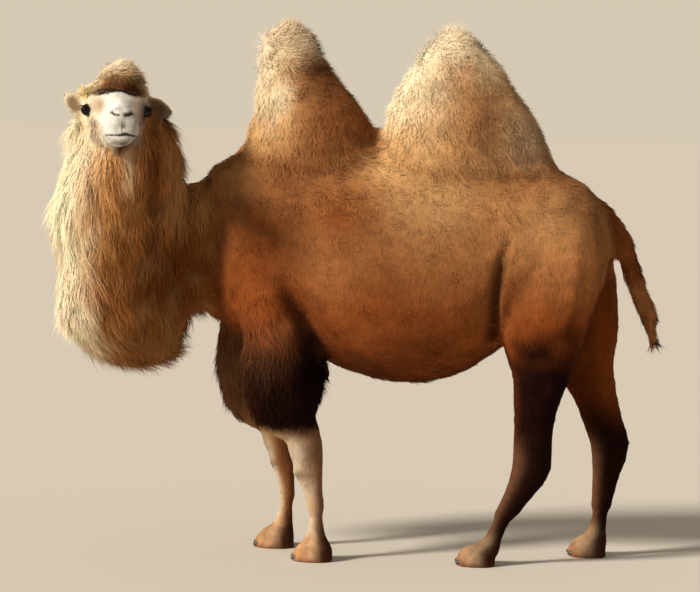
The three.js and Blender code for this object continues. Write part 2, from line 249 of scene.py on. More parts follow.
def refine(mesh, near):
    bm = bmesh.new()
    bm.from_mesh(mesh)
    inside = near(pointsOf(mesh))
    chosen = [e for e in bm.edges if inside[e.verts[0].index] and inside[e.verts[1].index]]
    bmesh.ops.subdivide_edges(bm, edges=chosen, cuts=1, use_grid_fill=True)
    bmesh.ops.triangulate(bm, faces=[f for f in bm.faces if len(f.verts) > 4])
    bm.to_mesh(mesh)
    bm.free()


for near in (nearFace, nearFeet, nearMuzzle, nearOpenings):
    refine(skin.data, near)
skinPoints = pointsOf(skin.data)
print("skin: refined,", len(skinPoints), "points")
edgeEnds = np.empty(len(skin.data.edges) * 2, np.int32)
skin.data.edges.foreach_get("vertices", edgeEnds)
edgeEnds = edgeEnds.reshape(-1, 2).T
neighbours = np.maximum(np.bincount(edgeEnds.ravel(), minlength=len(skinPoints)), 1)


def blurred(values, times, share=0.5):  # values spread along the skin's edges
    a, b = edgeEnds
    columns = values.astype(float).reshape(len(values), -1)
    share = np.broadcast_to(np.asarray(share, float).reshape(-1), len(values))
    for _ in range(times):
        for k in range(columns.shape[1]):
            column = columns[:, k]
            total = np.bincount(a, column[b], len(column)) + np.bincount(b, column[a], len(column))
            columns[:, k] = column + (total / neighbours - column) * share
    return columns.reshape(values.shape)


# which solid each point of the skin came from
corners, faces, faceNode = [], [], []
for index, name in enumerate(flesh):
    mesh = nodes[name].data
    start = len(corners)
    corners.extend(v.co.copy() for v in mesh.vertices)
    faces.extend(tuple(start + i for i in p.vertices) for p in mesh.polygons)
    faceNode.extend([index] * len(mesh.polygons))
solids = BVHTree.FromPolygons(corners, faces)
fromNode = np.empty(len(skinPoints), int)
snapped = skinPoints.copy()
for i, point in enumerate(skinPoints):
    place, _, face, _ = solids.find_nearest(Vector(point))
    fromNode[i] = faceNode[face]
    snapped[i] = place


def isFrom(*starts):
    wanted = [k for k, name in enumerate(flesh) if name.startswith(starts)]
    return np.isin(fromNode, wanted)


trunk, facePart, ears, forelock = isFrom("trunk"), isFrom("head"), isFrom("ear_"), isFrom("forelock")
humps, humpFront, humpRear = isFrom("hump_"), isFrom("hump_front"), isFrom("hump_rear")
neckUpper, neckLower = isFrom("neck_upper"), isFrom("neck_lower")
foreUpper, foreLower = (isFrom("foreleg_left_" + end, "foreleg_right_" + end) for end in ("upper", "lower"))
hindLegs, hindUpper = isFrom("hindleg_"), isFrom("hindleg_left_upper", "hindleg_right_upper")
feetPart = isFrom(*feet)

# ears keep their thin shape; the body loses the facets and creases of the solids
earPart = blurred(ears, 3)
footPart = soft(0.11, 0.07, skinPoints[:, 2])
skinPoints += (snapped - skinPoints) * ((earPart > 0.4) | (skinPoints[:, 2] < 0.085))[:, None]
stiff = np.clip(1 - 0.75 * earPart - 0.60 * footPart, 0.1, 1)
skinPoints = blurred(skinPoints, skinSetup["smoothing"], 0.5 * stiff)
humpShare = blurred(humps, skinSetup["humpBlur"])
seam = np.clip(1.5 - 1.5 * abs(2 * humpShare - 1), 0, 1) * (skinPoints[:, 2] < 1.9)
wideSeam = np.clip(1.6 * seam, 0, 1)
skinPoints = blurred(skinPoints, skinSetup["humpSmoothing"], 0.5 * seam)
faceArea = nearFace(skinPoints)
skinPoints = blurred(skinPoints, skinSetup["smoothing"], 0.5 * faceArea * (1 - 0.85 * earPart))
# smoothing shrinks the limbs, so the skin is drawn back out to the solids by a soft amount
nearest = np.array([solids.find_nearest(Vector(point))[0] for point in skinPoints])
skinPoints += blurred((nearest - skinPoints) * (1 - 0.85 * wideSeam)[:, None], 10)
# the hollow where the humps meet the back is filled out
aside = skinPoints[:, 1] - bodyOrigin[1]
skinPoints[:, 1] += skinSetup["humpFill"] * seam * np.sign(aside) * soft(0.03, 0.10, abs(aside))
# the feet are pads with soft edges above their soles
pads = soft(0.008, 0.022, skinPoints[:, 2]) * soft(0.21, 0.15, skinPoints[:, 2])
skinPoints = blurred(skinPoints, skinSetup["padSmoothing"][0], 0.5 * pads)
pads *= soft(0.04, 0.07, skinPoints[:, 2])
skinPoints = blurred(skinPoints, skinSetup["padSmoothing"][1], 0.5 * pads)
putPoints(skin.data, skinPoints)
print("skin: smoothed")

# muscles and folds under the coat

body = skinPoints - bodyOrigin
normals = normalsOf(skin.data)
# creases on the near side, as (x, z) from top to bottom; depth, width and swelling of the leg beside it;
# leg: which side of the line the leg is on; shift: how far back the crease lies on the other side
forms = {
    "flank": {"line": [(0.585, 1.33), (0.55, 1.247), (0.533, 1.16), (0.517, 1.06), (0.52, 0.92)],
              "depths": [0.0, 0.018, 0.036, 0.050, 0.050], "width": 0.018, "swell": 0.020,
              "leg": 1, "shift": 0.104},
    "elbow": {"line": [(-0.345, 1.13), (-0.30, 1.057), (-0.244, 0.976), (-0.199, 0.864), (-0.165, 0.76)],
              "depths": [0.0, 0.026, 0.048, 0.070, 0.075], "width": 0.030, "swell": 0.018,
              "leg": -1, "shift": -0.11},
    "breast": {"line": [(-0.56, 1.40), (-0.57, 1.25), (-0.575, 1.08), (-0.56, 0.94)],
               "depths": [0.0, 0.014, 0.022, 0.016], "width": 0.035, "swell": 0.0, "leg": 1, "shift": -0.06},
    "ham": {"line": [(0.86, 1.27), (0.872, 1.10), (0.85, 0.95), (0.80, 0.80)],
            "depths": [0.0, 0.006, 0.008, 0.005], "width": 0.020, "swell": 0.0, "leg": 1, "shift": 0.104},
}


def creaseFrom(line, depths, points):  # distance from a drawn line, its side and its depth at the nearest place
    best = np.full(len(points), 9.0)
    side, deep = np.zeros(len(points)), np.zeros(len(points))
    for (a, b), (p, q) in zip(zip(line, line[1:]), zip(depths, depths[1:])):
        a, b = np.array(a), np.array(b)
        along = np.clip((points - a) @ (b - a) / ((b - a) @ (b - a)), 0, 1)
        away = points - a - along[:, None] * (b - a)
        distance = np.linalg.norm(away, axis=1)
        closer = distance < best
        best = np.where(closer, distance, best)
        side = np.where(closer, (away[:, 1] * (b - a)[0] - away[:, 0] * (b - a)[1]), side)
        deep = np.where(closer, p + along * (q - p), deep)
    return best, np.sign(side), deep


creaseShade = np.zeros(len(skinPoints))
for form in forms.values():
    for _, sign in sides:
        flat = body[:, [0, 2]] - ([form["shift"], 0] if sign > 0 else [0, 0])
        away, beside, deep = creaseFrom(form["line"], form["depths"], flat)
        facing = soft(0.10, 0.45, normals[:, 1] * sign) * (body[:, 1] * sign > 0.05)
        legSide = beside * form["leg"] > 0
        profile = bell(away, np.where(legSide, form["width"] * 0.75, form["width"] * 1.25))
        swelling = form["swell"] * bell(away - 0.085, 0.09) * legSide * soft(0.0, 0.02, deep)
        skinPoints[:, 1] += sign * facing * (swelling - deep * profile)
        creaseShade = np.maximum(creaseShade, facing * bell(away, 0.015) * soft(0.006, 0.035, deep))
# broad swellings and hollows on both sides: place (x, z), radii, height, how far back on the other side
swells = {
    "shoulder blade": ((-0.40, 1.30), (0.11, 0.16), 0.014, -0.08),
    "upper arm": ((-0.43, 1.03), (0.10, 0.11), 0.014, -0.11),
    "behind the shoulder": ((-0.20, 1.33), (0.06, 0.18), -0.008, -0.08),
    "point of the hip": ((0.60, 1.43), (0.08, 0.06), 0.010, 0.0),
    "hollow of the flank": ((0.47, 1.33), (0.08, 0.08), -0.012, 0.0),
    "thigh": ((0.74, 1.10), (0.13, 0.22), 0.016, 0.104),
    "buttock": ((0.84, 1.33), (0.07, 0.07), 0.008, 0.05),
    "belly": ((0.10, 1.02), (0.30, 0.20), 0.010, 0.0),
}
for place, radii, rise, shift in swells.values():
    for _, sign in sides:
        centre = np.array(place) + ([shift, 0] if sign > 0 else [0, 0])
        share = blob(body[:, [0, 2]], centre, radii) * soft(0.2, 0.7, normals[:, 1] * sign)
        skinPoints[:, 1] += sign * rise * share
putPoints(skin.data, skinPoints)
print("skin: folds and muscles made")

# how the coat grows, part by part

# depth: how far short-haired skin lies inside the solids; elsewhere it comes from the hair's length and lift.
# length, width, lift (degrees) and curl of a tuft; all else in metres
coat = {
    "head": {"depth": 0.003, "length": 0.012, "width": 0.0020, "lift": 12, "curl": 0.02},
    "ear": {"depth": 0.003, "length": 0.013, "width": 0.0020, "lift": 15, "curl": 0.03},
    "forelock": {"length": 0.034, "width": 0.0024, "lift": 22, "curl": 0.14},
    "neck_upper": {"length": 0.095, "width": 0.0027, "lift": 22, "curl": 0.06},
    "neck_lower": {"length": 0.095, "width": 0.0028, "lift": 20, "curl": 0.06},
    "beard": {"length": 0.110, "width": 0.0028, "lift": 21, "curl": 0.06},
    "trunk": {"length": 0.021, "width": 0.0030, "lift": 13, "curl": 0.14},
    "hump": {"length": 0.032, "width": 0.0025, "lift": 22, "curl": 0.24},
    "tail_tuft": {"length": 0.046, "width": 0.0026, "lift": 12, "curl": 0.10},
    "tail": {"length": 0.045, "width": 0.0034, "lift": 12, "curl": 0.05},
    "foreleg_upper": {"length": 0.034, "width": 0.0030, "lift": 16, "curl": 0.07},
    "foreleg_lower": {"depth": 0.004, "length": 0.014, "width": 0.0026, "lift": 12, "curl": 0.02},
    "hindleg_upper": {"length": 0.024, "width": 0.0030, "lift": 13, "curl": 0.06},
    "hindleg_lower": {"depth": 0.005, "length": 0.016, "width": 0.0026, "lift": 9, "curl": 0.02},
    "foot": {"depth": 0.0005, "length": 0.010, "width": 0.0026, "lift": 14, "curl": 0.02},
}


def coatOf(name):
    plain = name.replace("_left", "").replace("_right", "")
    return coat["foot" if name in feet else max((kind for kind in coat if plain.startswith(kind)), key=len)]


def coatValues(key):
    return np.array([coatOf(name).get(key, 0) for name in flesh], float)[fromNode]


body = skinPoints - bodyOrigin
head = inHead(skinPoints)
x, z = body[:, 0], body[:, 2]
forward, across, above = head.T
depth, length, width, lift, curl = (coatValues(key) for key in ("depth", "length", "width", "lift", "curl"))

# the sleeves of long hair hang on the forearms only, and shorten above the elbow
sleeve = foreUpper * soft(0.98, 0.80, z) * soft(0.50, 0.60, z)
length += sleeve * 0.030 * (1 - 0.7 * soft(0.0, 0.6, normals[:, 0]))
hem = foreUpper * soft(0.62, 0.54, z)
length -= hem * 0.014
lift -= hem * 10
# woolly crest on the humps' tips and front edges, and along the back between them
crest = humps * soft(1.80, 2.06, z)
length += crest * 0.006
lift += crest * 8
curl += crest * 0.10
frontEdge = humps * soft(-0.2, -0.8, normals[:, 0]) * soft(1.62, 1.75, z)
length += frontEdge * 0.008
lift += frontEdge * 5
length += trunk * soft(1.50, 1.62, z) * soft(-0.6, -0.3, x) * soft(0.75, 0.5, x) * 0.010
# wool stands in small curls over the back and the upper flanks, and lies close on the rest
woolly = trunk * soft(1.02, 1.24, z) * soft(-0.60, -0.2, x) * (0.45 + 0.55 * soft(0.75, 0.45, x))
for part, least in ((trunk, 0.35), (humps, 0.6 - 0.45 * soft(1.75, 1.95, z)), (hindUpper, 0.2)):
    woolly = np.maximum(woolly, part * least)
lift += woolly * 4
upperBack = trunk * soft(1.28, 1.50, z)
lift += upperBack * 5
length += upperBack * 0.006
curl += woolly * 0.10
# the beard is rounded off below: its hair shortens and turns back towards the chest
normals = normalsOf(skin.data)
below = isFrom("beard", "neck_lower") * soft(0.05, -0.75, normals[:, 2])
length -= below * 0.020
# short hair on the front of the face, longer over the cheeks and under the jaw
cheek = facePart * soft(0.13, 0.04, forward) * soft(0.0, -0.06, above)
depth += cheek * 0.010
length += cheek * 0.036
width += cheek * 0.0008
lift += cheek * 8
# the hairline: above it the forelock's hair hangs over the brow
aboveLine = above - (0.072 - np.where(across > 0, 1.5, 2.2) * across ** 2)
crown = facePart * soft(-0.002, 0.010, aboveLine) * soft(0.22, 0.12, forward)
length += crown * 0.016
width += crown * 0.0006
lift += crown * 10
length -= ears * soft(0.2, -0.4, normals @ headForwards) * 0.006
shortFace = facePart * soft(0.10, 0.2, forward)
length -= shortFace * 0.003
depth -= shortFace * 0.0015
# the belly's hair is a little longer
length += trunk * soft(0.86, 0.76, z) * 0.012

longCoat = ~(facePart | ears | (footPart > 0.5))
tipReach = 0.92 * length * np.sin(np.radians(lift)) + 0.002  # so that the tips reach the solids
depth = np.where(longCoat, tipReach, depth)
depth *= (1 - 0.45 * below) * (1 - 0.30 * crest * soft(0.95, 0.7, normals[:, 2]))
growth = np.stack([depth, length, width, lift, curl, woolly], 1)
growth = blurred(growth, 26, np.where(facePart | ears, 0.15, 0.5))
depth, length, width, lift, curl, woolly = blurred(growth, 80, 0.5 * wideSeam).T
print("coat: lengths set")

# the lie of the coat, as a direction for each point

groom = np.tile([0.18, 0.0, -1.0], (len(skinPoints), 1))


def comb(part, way, share=1.0):  # turns the hair of a part towards a way, all of it or a share
    share = (part * share)[:, None]
    groom[:] = groom * (1 - share) + np.array(way) * share


comb(trunk, [0.75, 0.0, -0.62])
comb(trunk & (x < -0.25), [0.35, 0.0, -0.9])
comb(trunk, [1.0, 0, -0.15], soft(0.90, 0.76, z))
swirl = np.stack([ripple(body, 0.07, seed) for seed in (41, 42, 43)], 1)
tip = soft(1.90, 2.10, z)[:, None]
for part, topX in ((humpFront, -0.32), (humpRear, 0.34)):
    away = body - np.array([topX, 0, 1.90])
    away[:, 2] = np.maximum(away[:, 2], 0)
    curls = unit(away) * 0.45 + swirl * 0.75 + np.array([0.25, 0, 0.15])
    comb(part, np.array([0.30, 0, -1.0]) * (1 - tip) + curls * tip)
comb(neckUpper, [0.05, -0.12, -1.0])
comb(neckLower, [0.10, -0.05, -1.0])
comb(isFrom("beard"), [0.04, 0.0, -1.0])
comb(below, [0.7, 0.1, -0.6])
comb(isFrom("tail"), [0.38, 0.0, -0.92])
comb(foreUpper, [0.02, 0.0, -1.0])
comb(foreLower, [0.0, 0.0, -1.0])
backwards = -headForwards
sloping = np.array([0, 0, 0.25]) * soft(0.0, 0.08, above)[:, None]
hanging = np.array([0, 0, -0.35]) * soft(0.0, -0.08, above)[:, None]
faceFlow = (backwards + hanging + sloping) * (1 - 0.85 * cheek)[:, None]
comb(facePart, faceFlow + (0.25 * backwards + np.array([0, 0, -1.0])) * cheek[:, None])
comb(crown, 0.7 * headForwards + np.array([0, 0, -0.5]))
lockAway = skinPoints - (middleOf("forelock") + np.array([0, 0.02, -0.10]))
comb(forelock, unit(lockAway * [1, 1, 0.4]) * 0.9 + np.array([0, 0.2, 0.15]))
overBrow = soft(0.085, 0.050, aboveLine) * soft(0.0, 0.5, normals @ headForwards)
comb(forelock, 0.6 * headForwards + np.array([0, 0, -0.7]), overBrow)
comb(isFrom("ear_left"), [0.5, 0.1, -0.6])
comb(isFrom("ear_right"), [-0.5, 0.1, 0.8])
groom = unit(blurred(unit(groom), 16, np.where(facePart, 0.3, 0.5)))
print("coat: groomed")

# the skin sinks below the coat, and the face is shaped

normals = normalsOf(skin.data)
skinPoints -= normals * depth[:, None]
putPoints(skin.data, skinPoints)
# soles lie flat on the ground, and a cleft parts the two toes
footSetup = {
    "soleTop": 0.03, "soleSink": 0.0025,  # the sole is levelled up to this height, and sinks this far
    "cleft": 0.022, "cleftWidth": 0.0075, "toeSwell": 0.005, "toeAside": 0.036, "toeWidth": 0.020,
}
for name in feet:
    part = isFrom(name)
    top, sink = footSetup["soleTop"], footSetup["soleSink"]
    sole = part & (skinPoints[:, 2] < top)
    lowest = skinPoints[sole, 2].min()
    levelled = (skinPoints[sole, 2] - lowest - sink) * top / (top - lowest - sink)
    skinPoints[sole, 2] = np.maximum(levelled, 0)
    d = skinPoints - middleOf(name)
    toes = part * soft(0.0, -0.07, d[:, 0]) * soft(0.0, 0.004, skinPoints[:, 2])
    groove = bell(d[:, 1], footSetup["cleftWidth"]) * toes
    swollen = bell(abs(d[:, 1]) - footSetup["toeAside"], footSetup["toeWidth"]) * toes
    skinPoints -= normals * (groove * footSetup["cleft"] - swollen * footSetup["toeSwell"])[:, None]
    skinPoints[:, 2] = np.where(sole, np.maximum(skinPoints[:, 2], 0), skinPoints[:, 2])
# callus on the front of each knee, knuckles above the feet and hollows beside the sinews
legPlaces = {  # how far back each side's knees, ankles and hocks are
    "left": {"knee": -0.259, "foreAnkle": -0.182, "hock": 0.700, "hindAnkle": 0.548},
    "right": {"knee": -0.369, "foreAnkle": -0.298, "hock": 1.022, "hindAnkle": 0.990},
}
bumps = [  # leg, what the bump is near, how far behind it, how high above the ground, radii, rise
    ("foreleg_", "knee", (0.0, 0.345), (0.030, 0.024), 0.008),
    ("foreleg_", "knee", (-0.03, 0.430), (0.05, 0.030), 0.005),
    ("foreleg_", "knee", (0.06, 0.430), (0.04, 0.035), 0.006),
    ("foreleg_", "foreAnkle", (0.0, 0.135), (0.06, 0.030), 0.006),
    ("foreleg_", "knee", (0.065, 0.25), (0.022, 0.10), -0.006),
    ("hindleg_", "hindAnkle", (0.0, 0.135), (0.06, 0.030), 0.006),
    ("hindleg_", "hock", (0.05, 0.47), (0.028, 0.09), -0.007),
    ("hindleg_", "hock", (-0.02, 0.40), (0.05, 0.04), 0.005),
]
body = skinPoints - bodyOrigin
for side, sign in sides:
    for leg, near, (back, high), radii, rise in bumps:
        own = isFrom(leg + side) * (body[:, 1] * sign > 0)
        share = blob(body[:, [0, 2]], (legPlaces[side][near] + back, high), radii) * own
        skinPoints += normals * (rise * share)[:, None]
head = inHead(skinPoints)


def push(amount, centre, size, way=None):  # moves the face outwards, or a given way, round a place on it
    global skinPoints
    share = blob(head, centre, size) * (facePart | neckUpper)
    skinPoints = skinPoints + (normals if way is None else np.array(way) @ headAxes) * (amount * share)[:, None]


faceSetup = {
    "eyeRadius": 0.0235,
    "opening": (math.radians(66), math.radians(46)),  # of the lids, to each side and up
    "lid": 0.0030,
    "gaze": (0.52, 0.85, 0.0),
    "mouthHeight": -0.091,
    "mouthDepth": 0.010, "cleftDepth": 0.004, "nostrilDepth": 0.012,
    "nostril": ((0.016, -0.013), (0.045, 0.004)),  # its inner and outer ends, across and up
    "earHollow": {"left": 0.002, "right": 0.006},
}
for _, sign in sides:
    push(0.012, (0.0, sign * 0.10, 0.020), (0.050, 0.06, 0.040), (0, sign, 0))  # the orbit stands out
    push(0.009, (0.020, sign * 0.098, 0.040), (0.038, 0.03, 0.015))  # brow
    push(0.005, (0.050, sign * 0.095, -0.034), (0.055, 0.03, 0.012))  # cheekbone below the eye
    push(-0.010, (0.085, sign * 0.080, -0.005), (0.038, 0.03, 0.024))  # hollow before the eye
    push(-0.010, (0.150, sign * 0.065, 0.010), (0.050, 0.03, 0.030))  # the nose narrows
    push(0.010, (-0.02, sign * 0.11, -0.085), (0.050, 0.04, 0.040))  # jaw muscle
    push(-0.008, (0.135, sign * 0.06, -0.085), (0.045, 0.03, 0.022))  # behind the corner of the mouth
    push(0.010, (0.262, sign * 0.034, -0.054), (0.028, 0.020, 0.024))  # lobe of the upper lip
    push(0.007, (0.245, sign * 0.036, 0.010), (0.030, 0.018, 0.012))  # upper rim of the nostril
    push(-0.004, (0.275, sign * 0.034, -0.022), (0.030, 0.020, 0.008))  # below the nostril
    push(-0.010, (0.250, sign * 0.060, -0.116), (0.040, 0.018, 0.018))  # the lower lip is narrower
push(0.006, (0.272, 0, -0.105), (0.03, 0.030, 0.010))  # lower lip
push(-0.006, (0.265, 0, -0.124), (0.03, 0.05, 0.006))  # between lip and chin
push(0.006, (0.235, 0, -0.142), (0.03, 0.030, 0.014))  # chin
push(0.006, (0.10, 0, 0.06), (0.07, 0.028, 0.03))  # bridge of the nose
head = inHead(skinPoints)
putPoints(skin.data, skinPoints)
normals = normalsOf(skin.data)

earHollow = np.zeros(len(skinPoints))
for side, _ in sides:
    shape = np.array([v.co for v in nodes["ear_" + side].data.vertices])
    middle = (shape.min(0) + shape.max(0)) / 2
    axes = np.linalg.svd(shape - shape.mean(0), full_matrices=False)[2]
    front = axes[2] * (1 if axes[2] @ headForwards > 0 else -1)
    reach = [abs((shape - middle) @ axis).max() for axis in axes]
    d = skinPoints - middle
    oval = np.sqrt(((d @ axes[0]) / (reach[0] * 0.70)) ** 2 + ((d @ axes[1]) / (reach[1] * 0.62)) ** 2)
    hollow = soft(1.1, 0.5, oval) * soft(0.1, 0.6, normals @ front) * isFrom("ear_" + side)
    skinPoints -= (hollow * faceSetup["earHollow"][side])[:, None] * front
    earHollow = np.maximum(earHollow, hollow)

# mouth, the cleft of the upper lip, and nostrils
forward, across, above = head.T
muzzle = facePart * soft(0.10, 0.16, forward)
mouthAt = faceSetup["mouthHeight"] - 0.018 * soft(0.26, 0.12, forward) - 0.05 * across ** 2 / 0.07
mouthAt += 0.004 * bell(across + 0.012, 0.016)  # the upper lip is parted in the middle
mouthWide = 0.0030 + 0.0032 * bell(across + 0.014, 0.022)
mouth = bell(above - mouthAt, mouthWide) * muzzle * soft(0.066, 0.048, abs(across))
cleft = bell(across, 0.0032) * soft(-0.092, -0.082, above) * soft(-0.026, -0.060, above)
cleft = cleft * facePart * (forward > 0.2)
slits = np.zeros(len(head))
inner, outer = np.array(faceSetup["nostril"])
for _, sign in sides:
    place = head[:, 1:] * [sign, 1]
    along = np.clip(((place - inner) @ (outer - inner)) / ((outer - inner) @ (outer - inner)), 0, 1)
    bow = 0.006 * np.sin(along * math.pi)
    gap = np.hypot(*(place - inner - along[:, None] * (outer - inner) + bow[:, None] * [0, 1]).T)
    slit = bell(gap, np.where(across < 0, 0.0062, 0.0050)) * (forward > 0.2) * facePart
    slits = np.maximum(slits, slit)
sunk = mouth * faceSetup["mouthDepth"] + cleft * faceSetup["cleftDepth"] + slits * faceSetup["nostrilDepth"]
skinPoints -= normals * sunk[:, None]


def eyeAxes(side):  # where an eye looks, then the level and the upward direction across that
    sign = dict(sides)[side]
    gaze = unit(np.array(faceSetup["gaze"]) * [1, sign, 1]) @ headAxes
    level = unit(np.cross([0, 0, 1], gaze))
    return gaze, level, np.cross(gaze, level)


# lids round the eyes, open in an almond
lidRim = np.zeros(len(skinPoints))
lidWide = np.zeros(len(skinPoints))
wide, high = faceSetup["opening"]
radius = faceSetup["eyeRadius"]
for side, spot in eyeSpots.items():
    gaze, level, up = eyeAxes(side)
    d = skinPoints - spot
    away = np.linalg.norm(d, axis=1)
    ahead = d @ gaze
    turn = np.arctan2(d @ level, np.maximum(ahead, 1e-4))
    tilt = np.arcsin(np.clip(d @ up / np.maximum(away, 1e-6), -1, 1))
    rim = np.sqrt((turn / wide) ** 2 + (tilt / np.where(tilt > 0, high * 0.92, high)) ** 2)
    rim = np.where(ahead > 0, rim, 9)
    near = (away < 0.075) & facePart
    hood = radius + faceSetup["lid"] + 0.0035 * soft(0.2, 0.9, tilt)  # the upper lid is heavier
    target = np.where(rim < 1, radius * 0.80, hood)
    share = np.where(rim < 1.3, 1.0, 1 - soft(1.3, 2.3, rim)) * near
    skinPoints += unit(d) * ((target - away) * share)[:, None]
    lidRim = np.maximum(lidRim, bell(rim - 1.12, 0.17) * near)
    lidWide = np.maximum(lidWide, bell(rim - 1.25, 0.5) * near)
putPoints(skin.data, skinPoints)
shadeSmooth(skin.data)
normals = normalsOf(skin.data)
print("skin: face shaped")

# markings, shared by skin and coat

shades = {
    "fawn": "#A46E42", "russet": "#803F18", "bay": "#5A2A10", "gold": "#C98C4E", "honey": "#E2B67E",
    "cream": "#FBE9C6", "sable": "#0F0301", "umber": "#2A1108", "sand": "#BEAB92", "tan": "#BE8C58",
    "white": "#E2E0D9", "ash": "#8E8276", "rust": "#8E4522", "slate": "#45403E", "soot": "#0E0908",
    "cocoa": "#6A4833", "straw": "#EFD08A", "mauve": "#D8BCAC", "plum": "#241619",
}
shades = {name: linear(value) for name, value in shades.items()}
coatColour = np.tile(shades["fawn"], (len(skinPoints), 1))


def paint(part, *layers):  # shades over a part, one over another, each with its share
    for name, share in layers:
        share = np.clip(part * share, 0, 1)[:, None]
        coatColour[:] = coatColour * (1 - share) + shades[name] * share


def patch(x, z, wide, high):  # a soft patch on both sides of the body
    return blob(body, (x, 0, z), (wide, 2, high))


def facePatch(forward, across, above, *radii):
    return blob(head, (forward, across, above), radii)


body = skinPoints - bodyOrigin
head = inHead(skinPoints)
x, y, z = body.T
drift = ripple(body, 0.16, 3)
fine = ripple(body, 0.05, 4)
height = z + 0.03 * drift
towards, upwards = -normals[:, 0], normals[:, 2]  # 1 where the surface faces forwards, and up
# trunk
flanks = trunk | hindUpper | foreUpper
hindShare = blurred(hindUpper, 60)
# painted shade: the flanks darken in russet below the middle of their height
paint(flanks, ("russet", soft(1.30, 0.94, height) * 0.88))
paint(hindShare, ("russet", 0.30))
paint(hindShare * soft(1.20, 0.95, height), ("russet", 0.2))
paint(flanks, ("russet", patch(-0.44, 1.16, 0.20, 0.32) * 0.85))
paint(trunk, ("tan", patch(-0.50, 1.52, 0.10, 0.10) * 0.45))
paint(trunk | humps,
      ("russet", patch(-0.08, 1.38, 0.16, 0.14) * 0.75),
      ("honey", patch(0.26, 1.45, 0.20, 0.13) * 0.5),
      ("honey", patch(0.08, 1.58, 0.10, 0.08) * 0.6))
paint(flanks, ("honey", patch(0.72, 1.38, 0.14, 0.14) * 0.25))
# painted shade under the belly
paint(trunk, ("bay", soft(0.92, 0.74, height) * 0.75))
paint(creaseShade, ("umber", 0.9))
# humps: pale woolly tips and front edges, browner behind; the paler forward-facing slopes are partly the wool's
# own tone and partly painted light
paint(humps,
      # painted light: honey where the slopes face forwards, into the key light
      ("honey", soft(0.0, 0.5, towards) * soft(1.60, 1.75, height) * 0.75),
      ("honey", soft(1.86, 2.02, height) * 0.8))
# painted light, with paler wool: honey on the front slope of each hump
paint(humpRear, ("honey", patch(0.24, 1.78, 0.14, 0.26) * 0.6))
paint(humpFront, ("honey", patch(-0.40, 1.80, 0.12, 0.22) * 0.5))
paint(humps,
      ("cream", soft(1.90, 2.04, height) * 0.85),
      # painted light: cream where the slopes face forwards
      ("cream", soft(0.2, 0.7, towards) * soft(1.68, 1.84, height) * 0.75))
paint(humpRear,
      ("cream", patch(0.24, 1.90, 0.10, 0.16) * 0.6),
      ("honey", patch(0.54, 1.80, 0.18, 0.24) * 0.45),
      ("fawn", patch(0.385, 1.965, 0.060, 0.055) * 0.65),
      ("cocoa", patch(0.46, 1.77, 0.070, 0.16) * 0.75),
      ("sand", patch(0.63, 1.71, 0.09, 0.13) * 0.5),
      ("fawn", patch(0.37, 1.76, 0.13, 0.15) * 0.35))
paint(humpFront,
      # painted shade: russet, bay and umber down the rear slope, which faces away from the light
      ("russet", patch(-0.06, 1.74, 0.15, 0.18) * 0.6),
      ("fawn", soft(1.94, 2.06, height) * 0.3),
      ("bay", patch(-0.205, 1.95, 0.070, 0.055) * 0.9),
      ("umber", patch(-0.215, 1.955, 0.055, 0.045) * 0.35),
      # painted light: a pale stripe on the lit near side of the front edge
      ("cream", patch(-0.345, 1.84, 0.032, 0.085) * soft(0.05, -0.05, y) * 0.9),
      ("fawn", patch(-0.30, 1.72, 0.12, 0.12) * 0.3))
paint(trunk, ("bay", patch(-0.34, 1.53, 0.12, 0.08) * 0.3))
paint(flanks,
      ("bay", patch(-0.45, 1.26, 0.16, 0.14) * 0.25),
      ("bay", patch(0.10, 1.26, 0.40, 0.17) * 0.16))
# neck: gold at the throat, cream where it fringes; cream where it faces forwards is painted light, dark brown
# behind is painted shade, and low down it is browner hair with painted shade
neck = isFrom("neck_upper", "neck_lower", "beard")
# where the neck faces back, away from the light, it gets painted shade
shadedBack = soft(0.15, -0.7, towards)
low = z + 0.05 * drift - 0.30 * (x + 0.95)
fringe = soft(-1.00, -1.13, x + 0.02 * drift + 0.015 * fine)
paint(neck,
      ("gold", 1.0),
      # painted shade on the side facing back
      ("rust", shadedBack * 0.5),
      # darker low down: browner hair and painted shade
      ("russet", soft(1.36, 1.16, low) * 0.65),
      ("bay", soft(1.16, 0.96, low) * 0.25),
      # painted shade on the side facing back, high on the neck
      ("bay", shadedBack * soft(1.50, 1.2, z) * 0.42),
      ("gold", soft(1.12, 0.97, z) * 0.3),
      # cream fringe, and painted light where the neck faces forwards
      ("cream", np.maximum(soft(0.30, 0.80, towards) * soft(-0.95, -1.08, x), fringe) * 0.92),
      ("cream", soft(-0.97, -1.07, x) * soft(1.40, 1.60, z) * 0.5),
      ("honey", soft(0.2, 0.7, ripple(body, 0.06, 8)) * 0.2))
paint(neckUpper,
      # painted shade: a dark umber band on the neck beside the cheek
      ("umber", bell(x + 0.825 + 0.01 * fine, 0.018) * soft(1.15, 1.35, z) * 0.7),
      # painted light: tan where back-lit hair glows along the neck's rear edge
      ("tan", soft(-0.80, -0.74, x) * soft(1.28, 1.45, z) * 0.8))
paint(neck,
      ("cream", blob(body, (-0.925, -0.3, 1.57), (0.030, 0.3, 0.07)) * 0.7),
      ("rust", blob(body, (-0.84, -0.3, 1.57), (0.040, 0.3, 0.07)) * 0.6),
      ("fawn", blob(body, (-0.98, -0.3, 1.54), (0.07, 0.3, 0.07)) * 0.6))
